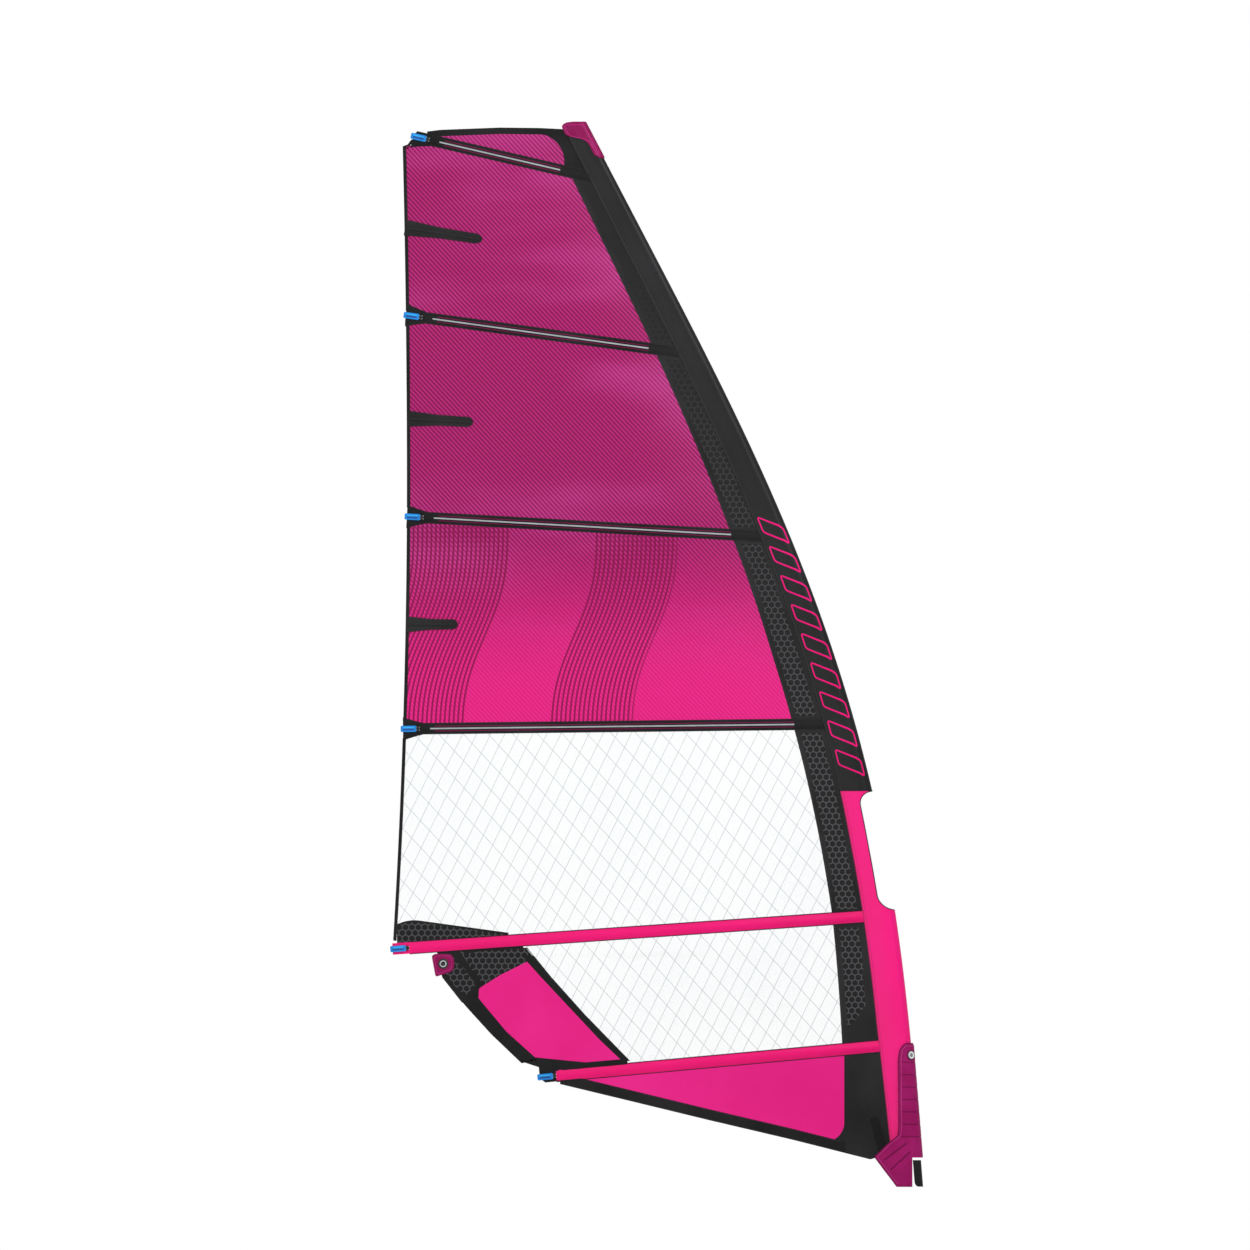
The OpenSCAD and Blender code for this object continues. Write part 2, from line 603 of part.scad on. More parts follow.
module at_pulley() {
    translate(pulley_at) rotate([0, -webbing_lean, 0]) children();
}

module crosswise(d, from, to) {
    translate([0, from, 0]) rotate([-90, 0, 0]) cylinder(d = d, h = to - from);
}

module pulley_frame() {
    plate = sheave_d / 2 + 4;
    color([0.15, 0.15, 0.16]) at_pulley() {
        difference() {
            union() {
                for (side = [-1, 1]) translate([0, side * (cheek_in + cheek_t / 2), 0]) {
                    crosswise(sheave_d + 6, -cheek_t / 2, cheek_t / 2);
                    translate([-plate, -cheek_t / 2, 0]) cube([2 * plate, cheek_t, plate + 4]);
                }
                translate([-plate, -cheek_in - cheek_t, plate]) cube([2 * plate, 2 * (cheek_in + cheek_t), 4]);
                for (side = [-1, 1]) translate([side * (plate - 2) - 2, -7, plate])
                    cube([4, 14, bail_z - plate + 5]);
                translate([-plate, 0, bail_z]) lengthwise(6, 0, 2 * plate);
            }
            crosswise(axle_d + 0.1, -30, 30);
        }
    }
}

module pulley_axle() {
    reach = cheek_in + cheek_t;
    color("silver") at_pulley() {
        crosswise(axle_d, -reach - 0.2, reach + 0.2);
        for (side = [-1, 1]) translate([0, side * (reach + 1.2), 0]) crosswise(axle_d + 5, -1, 1);
    }
}

module pulley_sheave(k) {
    r = sheave_d / 2;
    w = sheave_w / 2;
    color("white") at_pulley() translate([0, (k - 2) * sheave_pitch, 0]) rotate([90, 0, 0]) rotate_extrude()
        polygon([[axle_d / 2 + fit_gap, -w], [r, -w], [r, -w + 1.2], [r - 4, -1.5], [r - 4, 1.5],
            [r, w - 1.2], [r, w], [axle_d / 2 + fit_gap, w]]);
}

// Webbing looped round the pulley's bail and sewn up both sides of the tack
module tack_webbing() {
    inner = 4;
    outer = 5.5;
    color(black) at_pulley() translate([0, 0, bail_z]) rotate([0, 90, 0]) rotate([0, 0, 90])
    linear_extrude(webbing_w, center = true) {
            difference() {
                circle(outer);
                circle(inner);
                translate([-10, 0]) square([20, 10]);
            }
            for (side = [-1, 1]) translate([side * (inner + outer) / 2 - (outer - inner) / 2, -0.01])
                square([outer - inner, 170]);
        }
}

// Half tube that shields the mast's foot in front
module foot_apron() {
    color(black) translate([nose_x(sleeve_foot), 0, sleeve_foot]) rotate([0, -rake_foot, 0]) difference() {
        translate([0, 0, -140]) cylinder(r = nose_low, h = 116);
        translate([0, 0, -141]) cylinder(r = nose_low - 2.5, h = 140);
        translate([-2 * nose_low, -nose_low - 1, -141]) cube([2 * nose_low, 2 * nose_low + 2, 140]);
    }
}

// ---- Head ----
cap_rows = [head_height + 34, head_height, head_height - 30, head_height - 42, head_height - 80,
    head_height - 125];
cap_gap = 1.8;
function cap_reach(z) = z > head_height - 36 ? 2.12 : 1.12;

module head_cap() {
    rows = [for (z = cap_rows) let (m = cap_reach(z)) [for (c = sleeve_columns)
        [z, abs(c) > 1 ? sign(c) * (1 + (abs(c) - 1) * (m - 1)) : c]]];
    color([0.55, 0.03, 0.32]) slab([for (row = rows) [for (p = row) sleeve_pt(p.x, p.y, cap_gap + 4)]],
        [for (row = rows) [for (p = row) sleeve_pt(p.x, p.y, cap_gap)]]);
}

// Socket for the mast's tip, at the top of the sleeve
plug_r = 17.5;
module head_plug() {
    z = head_height - 20;
    color("lightgray") translate([luff_front(z) - plug_r - 5, 0, z]) rotate([0, -rake_head, 0]) difference() {
        union() {
            translate([0, 0, -60]) cylinder(r = plug_r, h = 110);
            translate([0, 0, 50]) cylinder(r1 = plug_r, r2 = plug_r - 4, h = 6);
        }
        translate([0, 0, -61]) cylinder(d = tip_bore, h = tip_depth + 1);
    }
}

batten(0);  // batten_1
batten(1);  // batten_2
batten(2);  // batten_3
batten(3);  // batten_4
batten(4);  // batten_5
batten(5);  // batten_6
pocket(0);  // pocket_1
pocket(1);  // pocket_2
pocket(2);  // pocket_3
pocket(3);  // pocket_4
pocket(4);  // pocket_5
pocket(5);  // pocket_6
tensioner_screw(0);  // tensioner_screw_1
tensioner_screw(1);  // tensioner_screw_2
tensioner_screw(2);  // tensioner_screw_3
tensioner_screw(3);  // tensioner_screw_4
tensioner_screw(4);  // tensioner_screw_5
tensioner_screw(5);  // tensioner_screw_6
tensioner_plug(0);  // tensioner_plug_1
tensioner_plug(1);  // tensioner_plug_2
tensioner_plug(2);  // tensioner_plug_3
tensioner_plug(3);  // tensioner_plug_4
tensioner_plug(4);  // tensioner_plug_5
tensioner_plug(5);  // tensioner_plug_6
tensioner_caps();
tensioner_collars();
leech_patches();
mini_battens();
mini_batten_pockets();
head_panel();
upper_film_panel();
middle_film_panel();
lower_film_panel();
upper_window();
lower_window();
clew_panel();
foot_panel();
luff_panel();
leech_tape();
head_patch();
clew_patch();
tack_panel();
foot_band();
clew_plates();
clew_ring();
sleeve_lower();
sleeve_cutout_sides();
sleeve_upper();
pad_far_side();
pad_near_flap();
pad_eyelet();
pulley_frame();
pulley_axle();
pulley_sheave(1);  // pulley_sheave_1
pulley_sheave(2);  // pulley_sheave_2
pulley_sheave(3);  // pulley_sheave_3
tack_webbing();
foot_apron();
head_cap();
head_plug();
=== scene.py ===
import math

import bmesh
import bpy
import numpy as np
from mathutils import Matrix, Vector


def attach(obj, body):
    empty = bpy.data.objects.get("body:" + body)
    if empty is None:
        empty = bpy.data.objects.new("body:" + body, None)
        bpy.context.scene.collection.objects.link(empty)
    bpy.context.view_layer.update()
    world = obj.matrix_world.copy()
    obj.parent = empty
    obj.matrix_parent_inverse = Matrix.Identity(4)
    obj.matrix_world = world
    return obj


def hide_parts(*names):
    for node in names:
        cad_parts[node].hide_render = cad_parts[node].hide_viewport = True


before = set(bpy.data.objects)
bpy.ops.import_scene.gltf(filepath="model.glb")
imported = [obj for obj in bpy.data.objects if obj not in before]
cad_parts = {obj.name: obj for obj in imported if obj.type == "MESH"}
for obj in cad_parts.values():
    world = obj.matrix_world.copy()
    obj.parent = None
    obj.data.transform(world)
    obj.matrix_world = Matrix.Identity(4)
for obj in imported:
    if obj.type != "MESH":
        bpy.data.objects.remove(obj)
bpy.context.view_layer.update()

# x runs forward to the luff, y to the far side, z up the mast, all in metres

# camera, light and floor
studio = {
    "cameraPlace": (-1.247, -12.0, 2.289),
    "cameraWidth": 5.45,
    "floorHeight": -0.172,
    "floorSize": 60.0,
    "ambient": 0.46,
    "keyPower": 330.0,
    "fillPower": 120.0,
    "backPower": 260.0,
}


def linearLight(value):
    share = value / 255
    return share / 12.92 if value <= 10 else ((share + 0.055) / 1.055) ** 2.4


def srgb(red, green, blue):
    # screen values 0 to 255 as linear light
    return (linearLight(red), linearLight(green), linearLight(blue), 1.0)


def addCamera():
    camData = bpy.data.cameras.new("sailCamera")
    camData.type = "ORTHO"
    camData.ortho_scale = studio["cameraWidth"]
    camData.clip_end = 100
    cam = bpy.data.objects.new("sailCamera", camData)
    cam.location = studio["cameraPlace"]
    cam.rotation_euler = (math.pi / 2, 0, 0)
    bpy.context.collection.objects.link(cam)
    bpy.context.scene.camera = cam


def addAreaLight(name, place, target, power, size):
    light = bpy.data.lights.new(name, "AREA")
    light.energy = power
    light.size = size
    holder = bpy.data.objects.new(name, light)
    holder.location = place
    holder.rotation_euler = (Vector(target) - Vector(place)).to_track_quat("-Z", "Y").to_euler()
    bpy.context.collection.objects.link(holder)


def addStudio():
    scene = bpy.context.scene
    scene.view_settings.view_transform = "Standard"
    world = bpy.data.worlds.new("studioWorld")
    scene.world = world
    world.use_nodes = True
    tree = world.node_tree
    tree.nodes.clear()
    out = tree.nodes.new("ShaderNodeOutputWorld")
    seen = tree.nodes.new("ShaderNodeBackground")
    seen.inputs["Color"].default_value = (1, 1, 1, 1)
    seen.inputs["Strength"].default_value = 1.0
    lit = tree.nodes.new("ShaderNodeBackground")
    lit.inputs["Color"].default_value = (0.97, 0.98, 1, 1)
    lit.inputs["Strength"].default_value = studio["ambient"]
    path = tree.nodes.new("ShaderNodeLightPath")
    mix = tree.nodes.new("ShaderNodeMixShader")
    tree.links.new(path.outputs["Is Camera Ray"], mix.inputs[0])
    tree.links.new(lit.outputs[0], mix.inputs[1])
    tree.links.new(seen.outputs[0], mix.inputs[2])
    tree.links.new(mix.outputs[0], out.inputs[0])
    middle = (-1.1, 0, 2.2)
    addAreaLight("keyLight", (1.8, -5.5, 6.5), middle, studio["keyPower"], 4.0)
    addAreaLight("fillLight", (-5.5, -5.0, 3.0), middle, studio["fillPower"], 5.0)
    addAreaLight("backLight", (-3.0, 6.0, 5.5), middle, studio["backPower"], 5.0)
    half = studio["floorSize"] / 2
    data = bpy.data.meshes.new("studioFloor")
    corners = [(-half, -half, 0), (half, -half, 0), (half, half, 0), (-half, half, 0)]
    data.from_pydata(corners, [], [(0, 1, 2, 3)])
    floor = bpy.data.objects.new("studioFloor", data)
    floor.location = (-1.1, 0, studio["floorHeight"])
    paint = bpy.data.materials.new("floorPaint")
    paint.use_nodes = True
    shader = paint.node_tree.nodes["Principled BSDF"]
    shader.inputs["Base Color"].default_value = (0.86, 0.86, 0.86, 1)
    shader.inputs["Roughness"].default_value = 0.85
    data.materials.append(paint)
    bpy.context.collection.objects.link(floor)


addCamera()
addStudio()
print("camera and studio ready")

# outline of the sail
outline = {
    "footFront": 0.040,
    "rakeFoot": math.tan(math.radians(4.6)),
    "rakeHead": math.tan(math.radians(27.6)),
    "bendStart": 0.040,
    "bendSpan": 3.908,
    "noseLow": 0.036,
    "noseHead": 0.025,
    "headHeight": 4.450,
    "bellyLow": 0.05,
    "bellyHead": 0.015,
    "bellyFrom": 0.7,
    "bellyInset": 0.012,
    "bellyPeak": 0.0401,
    "tapeWidth": 0.015,
    "footBand": 0.048,
    "headBand": 0.028,
}
# height against distance, low to high
sleeveWidths = (
    [-0.060, 0.063, 0.520, 1.320, 2.769, 3.494, 4.450], [0.126, 0.129, 0.141, 0.142, 0.127, 0.116, 0.104]
)
stripWidths = ([0.390, 1.040, 2.140, 2.700, 3.500, 4.450], [0.304, 0.277, 0.271, 0.253, 0.215, 0.176])
lowLeech = (
    [-0.044, 0.044, 0.131, 0.218, 0.305, 0.392, 0.480, 0.567, 0.654, 0.741, 0.757, 0.846, 0.854, 0.876],
    [0.166, 0.514, 0.885, 1.243, 1.604, 1.713, 1.809, 1.892, 1.966, 2.036, 2.050, 2.080, 2.240, 2.259],
)
leechCurve = {
    "reach": 2.198,
    "turn": 2.9,
    "lowSag": 0.060,
    "lowSpan": 1.984,
    "highSag": 0.013,
    "highSpan": 1.242,
}
headCorner = ([4.380, 4.404, 4.421, 4.443], [2.198, 2.180, 2.171, 2.149])
footLine = (
    [-1.604, -1.243, -0.885, -0.514, -0.166, -0.140, 0.0],
    [0.305, 0.218, 0.131, 0.044, -0.044, -0.034, -0.010]
)
headLine = ([-2.149, -2.053, -1.792, -1.617, -1.517, -1.400], [4.436, 4.448, 4.458, 4.456, 4.451, 4.440])
clewSeam = ([0.350, 0.590, 0.755, 0.900], [1.190, 1.424, 1.572, 1.690])
frontEdge, tackEdge, rearEdge = -1.512, -0.285, -2.030


def blendTo(a, b, t):
    return a + (b - a) * t


def luffFront(z):
    o = outline
    u = np.clip((z - o["bendStart"]) / o["bendSpan"], 0, 1)
    over = np.maximum(z - o["bendStart"] - o["bendSpan"], 0)
    return o["footFront"] - o["rakeFoot"] * z - (o["rakeHead"] - o["rakeFoot"]) * (
        o["bendSpan"] * (u**3 - u**4 / 2) + over)


def sleeveWidth(z):
    return np.interp(z, *sleeveWidths)


def seamX(z):
    return luffFront(z) - sleeveWidth(z)


def stripX(z):
    return luffFront(z) - np.interp(z, *stripWidths)


def rearX(z):
    # two soft arcs of the leech meet at the turn; below and above them it follows points
    k = leechCurve
    low = k["lowSag"] * (np.maximum(k["turn"] - z, 0) / k["lowSpan"]) ** 2
    high = k["highSag"] * (np.maximum(z - k["turn"], 0) / k["highSpan"]) ** 2
    upper = np.where(z > headCorner[0][0], np.interp(z, *headCorner), k["reach"] + low + high)
    return -np.where(z < lowLeech[0][-1], np.interp(z, *lowLeech), upper)


def footEdge(x):
    return np.interp(x, *footLine)


def headEdge(x):
    return np.interp(x, *headLine)


def sailY(x, z):
    # the belly, hollow on the far side and full on the near one
    o = outline
    width = seamX(z) - rearX(z)
    share = blendTo(o["bellyLow"], o["bellyHead"], np.clip(z / o["headHeight"], 0, 1))
    depth = share * np.clip(z / o["bellyFrom"], 0, 1) ** 1.5
    s = np.clip((seamX(z) - o["bellyInset"] - x) / width, 0, 1)
    return -depth * width * s**1.5 * (1 - s) ** 4 / o["bellyPeak"]


# lines of the battens
battens = {
    "leechHeights": [4.421, 3.640, 2.762, 1.836, 0.876, 0.317],
    "luffHeights": [4.244, 3.478, 2.676, 1.857, 1.018, 0.453],
    "pocketWidth": 0.050,
    "flareWidth": 0.102,
    "flareLength": 0.095,
    "pocketStart": 0.0725,
    "lap": 0.008,
}


class BattenLine:
    def __init__(self, i):
        self.i = i
        zEnd, zFront = battens["leechHeights"][i], battens["luffHeights"][i]
        self.end = np.array([float(rearX(zEnd)), zEnd])
        front = np.array([float(seamX(zFront)), zFront])
        self.length = float(np.linalg.norm(self.end - front))
        self.aft = (self.end - front) / self.length
        self.up = np.array([self.aft[1], -self.aft[0]])
        slope = float(seamX(zFront + 0.04) - seamX(zFront - 0.04)) / 0.08
        self.frontSlant = self.slant(slope)
        self.leechSlant = self.slant(
            -1.25 if i == 5 else float(rearX(zEnd - 0.001) - rearX(zEnd - 0.041)) / 0.04
        )

    def slant(self, m):
        return (m * self.up[1] - self.up[0]) / (self.aft[0] - m * self.aft[1])

    def point(self, r, v):
        return (
            self.end[0] - self.aft[0] * r + self.up[0] * v, self.end[1] - self.aft[1] * r + self.up[1] * v
        )

    def halfWidth(self, r, side):
        b = battens
        if (self.i == 0 and side > 0) or (self.i == 5 and side < 0):
            return b["pocketWidth"] / 2 + 0 * r
        flare = np.clip(1 - r / b["flareLength"], 0, 1) ** 1.3
        return b["pocketWidth"] / 2 + (b["flareWidth"] - b["pocketWidth"]) / 2 * flare

    def edge(self, x, side, lap):
        r = (self.end[0] - x) / self.aft[0]
        return self.end[1] - self.aft[1] * r + side * (
            self.halfWidth(np.maximum(r, 0), side) - lap
        ) / abs(self.aft[0])

    def frontR(self, v):
        return self.length - 0.003 - v * self.frontSlant

    def leechR(self, v):
        return -v * self.leechSlant


lines = [BattenLine(i) for i in range(6)]


def column(k, z):
    if k == "sleeve":
        return seamX(z) + 0.006
    if k == "strip":
        return stripX(z)
    if k == "tape":
        return rearX(z) + outline["tapeWidth"]
    if k == "leech":
        return rearX(z)
    if k == "clew":
        return -np.interp(z, *clewSeam)
    return k + 0 * z


def bayTop(b, x, lap):
    return headEdge(x) - outline["headBand"] + lap if b == 0 else lines[min(b, 6) - 1].edge(x, -1, lap)


def bayBottom(b, x, lap):
    if b == 7:
        return footEdge(x)
    return footEdge(x) + outline["footBand"] - lap if b == 6 else lines[b].edge(x, 1, lap)


def bayGrid(b, front, rear, cols, rows, lapFront=0.0, lapRear=0.0, lap=None):
    # (x, z) of a cloth between two battens: 0 is the head, 6 the foot, 7 the tack
    lap = battens["lap"] if lap is None else lap
    c, t = np.meshgrid(np.linspace(0, 1, cols + 1), np.linspace(0, 1, rows + 1))
    h, g = battens["luffHeights"], battens["leechHeights"]
    z = 0 * c + (g[0] if b == 0 else h[5] / 2 if b >= 6 else (h[b - 1] + h[b]) / 2)
    for _ in range(14):
        x = blendTo(column(front, z) + lapFront, column(rear, z) - lapRear, c)
        z = blendTo(bayTop(b, x, lap), bayBottom(b, x, lap), t)
    return np.stack([x, z], -1)


# tools that make meshes
def shell(outer, inner):
    # a closed sheet between two grids of points
    rows, cols = outer.shape[:2]
    verts = np.concatenate([outer.reshape(-1, 3), inner.reshape(-1, 3)])
    far = rows * cols
    faces = []
    for j in range(rows - 1):
        for i in range(cols - 1):
            a = j * cols + i
            faces.append((a, a + 1, a + cols + 1, a + cols))
            faces.append((a + far, a + cols + far, a + cols + 1 + far, a + 1 + far))
    for i in range(cols - 1):
        a, c = i, (rows - 1) * cols + i
        faces += [(a, a + far, a + 1 + far, a + 1), (c, c + 1, c + 1 + far, c + far)]
    for j in range(rows - 1):
        a, c = j * cols, j * cols + cols - 1
        faces += [(a, a + cols, a + cols + far, a + far), (c, c + far, c + cols + far, c + cols)]
    return verts, faces


def onSail(grid, lift=0.0):
    x, z = grid[..., 0], grid[..., 1]
    return np.stack([x, sailY(x, z) + lift, z], -1)


def clothSlab(grid, thick, lift=0.0):
    return shell(onSail(grid, lift - thick / 2), onSail(grid, lift + thick / 2))


def loft(rings, close=True):
    # a tube through rings of points, with flat ends
    rings = np.asarray(rings, float)
    n, k = rings.shape[:2]
    faces = [(s * k + i, s * k + (i + 1) % k, (s + 1) * k + (i + 1) % k, (s + 1) * k + i)
             for s in range(n - 1) for i in range(k)]
    if close:
        faces += [tuple(range(k - 1, -1, -1)), tuple((n - 1) * k + i for i in range(k))]
    return rings.reshape(-1, 3), faces


def sweep(path, radius, sides=8, closed=False, flat=1.0, toward=(0, -1, 0)):
    # a cord along a path; flat presses it along toward
    path = np.asarray(path, float)
    ahead = np.roll(path, -1, 0) - np.roll(path, 1, 0)
    if not closed:
        ahead[0], ahead[-1] = path[1] - path[0], path[-1] - path[-2]
    ahead /= np.linalg.norm(ahead, axis=1)[:, None] + 1e-12
    out = np.asarray(toward, float) + 0 * path
    side = np.cross(ahead, out)
    side /= np.linalg.norm(side, axis=1)[:, None] + 1e-12
    out = np.cross(side, ahead)
    rings = []
    for p, s, o in zip(path, side, out):
        rings.append([p + radius * (math.cos(a) * s + flat * math.sin(a) * o)
                      for a in np.linspace(0, 2 * math.pi, sides, endpoint=False)])
    if closed:
        rings.append(rings[0])
    return loft(rings, not closed)


def runLength(points):
    # the distance along a line of points, at each point
    return np.concatenate([[0], np.cumsum(np.linalg.norm(np.diff(points, axis=0), axis=1))])


def join(parts):
    verts, faces, marks, start = [], [], [], 0
    for part in parts:
        v, f = part[0], part[1]
        mark = part[2] if len(part) > 2 else 0
        verts.append(np.asarray(v, float))
        faces += [tuple(start + i for i in face) for face in f]
        marks += [mark] * len(f) if isinstance(mark, int) else list(mark)
        start += len(v)
    return np.concatenate(verts), faces, marks


def makePiece(name, parts, materials, nodes=(), body="root", crease=38):
    parts = parts if isinstance(parts, list) else [parts]
    verts, faces, marks = join(parts)
    data = bpy.data.meshes.new(name)
    data.from_pydata(verts.tolist(), [], faces)
    for m in materials if isinstance(materials, (list, tuple)) else [materials]:
        data.materials.append(m)
    data.polygons.foreach_set("material_index", marks)
    work = bmesh.new()
    work.from_mesh(data)
    bmesh.ops.remove_doubles(work, verts=work.verts, dist=2e-6)
    bmesh.ops.recalc_face_normals(work, faces=work.faces)
    work.to_mesh(data)
    work.free()
    data.polygons.foreach_set("use_smooth", [True] * len(data.polygons))
    data.set_sharp_from_angle(angle=math.radians(crease))
    data.update()
    obj = bpy.data.objects.new(name, data)
    bpy.context.collection.objects.link(obj)
    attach(obj, body)
    if nodes:
        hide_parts(*([nodes] if isinstance(nodes, str) else nodes))
    return obj


def clothArea(grid):
    # area of a grid of points
    a = grid[1:, 1:] - grid[:-1, :-1]
    b = grid[1:, :-1] - grid[:-1, 1:]
    return float(np.linalg.norm(np.cross(a, b), axis=-1).sum() / 2)


def declareSheet(grid):
    # flat size of the cut: the smallest rectangle along its own length, and its area
    points = grid.reshape(-1, 3)
    spread = points - points.mean(0)
    axes = np.linalg.svd(spread, full_matrices=False)[2]
    along, across = spread @ axes[0], spread @ axes[1]
    length, width = float(np.ptp(along)), float(np.ptp(across))
    area = clothArea(grid)
    if not 0.31 * length * width <= area <= length * width:
        width = area / length


def clothPiece(name, grid, thick, material, nodes, lift=0.0, marks=None):
    verts, faces = clothSlab(grid, thick, lift)
    obj = makePiece(name, [(verts, faces, marks if marks is not None else 0)], material, nodes)
    declareSheet(onSail(grid, lift))
    return obj


# materials
def newMaterial(name, color, roughness=0.5, **extra):
    mat = bpy.data.materials.new(name)
    mat.use_nodes = True
    shader = mat.node_tree.nodes["Principled BSDF"]
    shader.inputs["Base Color"].default_value = color
    shader.inputs["Roughness"].default_value = roughness
    for key, value in extra.items():
        shader.inputs[key.replace("_", " ")].default_value = value
    return mat


def calc(tree, kind, *ins):
    node = tree.nodes.new("ShaderNodeMath")
    node.operation = kind
    for i, v in enumerate(ins):
        if isinstance(v, (int, float)):
            node.inputs[i].default_value = v
        else:
            tree.links.new(v, node.inputs[i])
    return node.outputs[0]


def place(tree):
    # x, y and z of the point on the piece, in metres
    where = tree.nodes.new("ShaderNodeTexCoord")
    parts = tree.nodes.new("ShaderNodeSeparateXYZ")
    tree.links.new(where.outputs["Object"], parts.inputs[0])
    return where.outputs["Object"], parts.outputs[0], parts.outputs[1], parts.outputs[2]


def turned(tree, x, z, angle):
    # distance across lines that run at an angle to x
    a = math.radians(angle)
    return calc(
        tree, "ADD", calc(tree, "MULTIPLY", x, -math.sin(a)), calc(tree, "MULTIPLY", z, math.cos(a))
    )


def ramped(tree, value, low, high, outLow=0.0, outHigh=1.0, smooth=True):
    node = tree.nodes.new("ShaderNodeMapRange")
    node.interpolation_type = "SMOOTHSTEP" if smooth else "LINEAR"
    tree.links.new(value, node.inputs["Value"])
    for key, v in (("From Min", low), ("From Max", high), ("To Min", outLow), ("To Max", outHigh)):
        node.inputs[key].default_value = v
    return node.outputs["Result"]


def mixed(tree, amount, a, b, mode="MIX"):
    node = tree.nodes.new("ShaderNodeMix")
    node.data_type = "RGBA"
    node.blend_type = mode
    for key, v in ((0, amount), (6, a), (7, b)):
        if isinstance(v, (int, float, tuple)):
            node.inputs[key].default_value = v
        else:
            tree.links.new(v, node.inputs[key])
    return node.outputs[2]


def noise(tree, coord, scale, detail=3.0, stretch=None):
    if stretch:
        node = tree.nodes.new("ShaderNodeMapping")
        node.inputs["Scale"].default_value = stretch
        node.inputs["Rotation"].default_value = (0, math.radians(40), 0)
        tree.links.new(coord, node.inputs["Vector"])
        coord = node.outputs[0]
    node = tree.nodes.new("ShaderNodeTexNoise")
    node.inputs["Scale"].default_value = scale
    node.inputs["Detail"].default_value = detail
    tree.links.new(coord, node.inputs["Vector"])
    return node.outputs["Fac"]


def addBump(tree, height, strength, distance):
    node = tree.nodes.new("ShaderNodeBump")
    node.inputs["Strength"].default_value = strength
    node.inputs["Distance"].default_value = distance
    tree.links.new(height, node.inputs["Height"])
    tree.links.new(node.outputs[0], tree.nodes["Principled BSDF"].inputs["Normal"])


def weave(tree, x, z, pitch):
    # over and under threads
    a = calc(tree, "SINE", calc(tree, "MULTIPLY", x, 2 * math.pi / pitch))
    b = calc(tree, "SINE", calc(tree, "MULTIPLY", z, 2 * math.pi / pitch))
    return calc(tree, "MULTIPLY", a, b)


def setColor(mat, socket):
    mat.node_tree.links.new(socket, mat.node_tree.nodes["Principled BSDF"].inputs["Base Color"])


def clothMaterial(
    name, dark, light, pitch=0.0012, roughness=0.72, sheen=0.02, bump=0.35, patch=2.5, gloss=0.12
):
    mat = newMaterial(name, dark, roughness, Sheen_Weight=sheen, Specular_IOR_Level=gloss)
    tree = mat.node_tree
    coord, x, y, z = place(tree)
    threads = weave(tree, calc(tree, "ADD", x, y), z, pitch)
    cloud = ramped(tree, noise(tree, coord, patch, 4), 0.3, 0.7)
    grain = ramped(tree, threads, -1, 1, 0, 0.35)
    setColor(mat, mixed(tree, calc(tree, "ADD", calc(tree, "MULTIPLY", cloud, 0.65), grain), dark, light))
    addBump(tree, threads, bump, 0.0003)
    return mat


def striped(tree, x, z, angle, pitch, sharp=0.5, soft=0.16):
    # 1 on the line, 0 between lines
    phase = calc(
        tree, "FRACT", calc(tree, "DIVIDE", calc(tree, "ADD", turned(tree, x, z, angle), 50.0), pitch)
    )
    away = calc(tree, "ABSOLUTE", calc(tree, "SUBTRACT", phase, 0.5))
    rim = 0.25 * sharp / 0.5
    return ramped(tree, away, rim - soft / 2, rim + soft / 2, 1, 0)


def filmMaterial(name, dark, light, wash, hot=None):
    mat = newMaterial(name, light, 0.5, Specular_IOR_Level=0.16, Coat_Weight=0.03, Coat_Roughness=0.2)
    tree = mat.node_tree
    coord, x, y, z = place(tree)
    pins = striped(tree, x, z, -47, 0.0143, 0.52, 0.34)
    smoke = ramped(tree, noise(tree, coord, 1.15, 3, (0.55, 1.0, 1.9)), 0.40, 0.68)
    base = mixed(tree, calc(tree, "MULTIPLY", smoke, 0.8), light, wash)
    color = mixed(tree, calc(tree, "MULTIPLY", pins, ramped(tree, smoke, 0, 1, 0.95, 0.7)), base, dark)
    if hot:
        # warmer towards the foot of the cloth, with two fields of soft wave lines
        low = ramped(tree, z, 2.75, 1.95)
        pink = mixed(tree, calc(tree, "MULTIPLY", pins, 0.55), hot[1], hot[0])
        color = mixed(tree, low, color, pink)
        swing = calc(tree, "MULTIPLY", calc(tree, "SINE", calc(tree, "MULTIPLY", z, 7.0)), 0.030)
        drift = calc(tree, "ADD", x, calc(tree, "ADD", swing, calc(tree, "MULTIPLY", z, -0.22)))
        wave = calc(tree, "FRACT", calc(tree, "DIVIDE", calc(tree, "ADD", drift, 50.0), 0.0195))
        wave = ramped(tree, calc(tree, "ABSOLUTE", calc(tree, "SUBTRACT", wave, 0.5)), 0.16, 0.27, 1, 0)
        first = calc(
            tree, "MULTIPLY", ramped(tree, drift, -1.975, -1.965), ramped(tree, drift, -1.615, -1.605, 1, 0)
        )
        rear = ramped(tree, drift, -2.345, -2.335, 1, 0)
        field = calc(tree, "MAXIMUM", first, rear)
        shown = calc(tree, "MULTIPLY", calc(tree, "MULTIPLY", wave, field), 0.85)
        color = mixed(tree, shown, color, dark)
    setColor(mat, color)
    addBump(tree, pins, 0.12, 0.0002)
    return mat


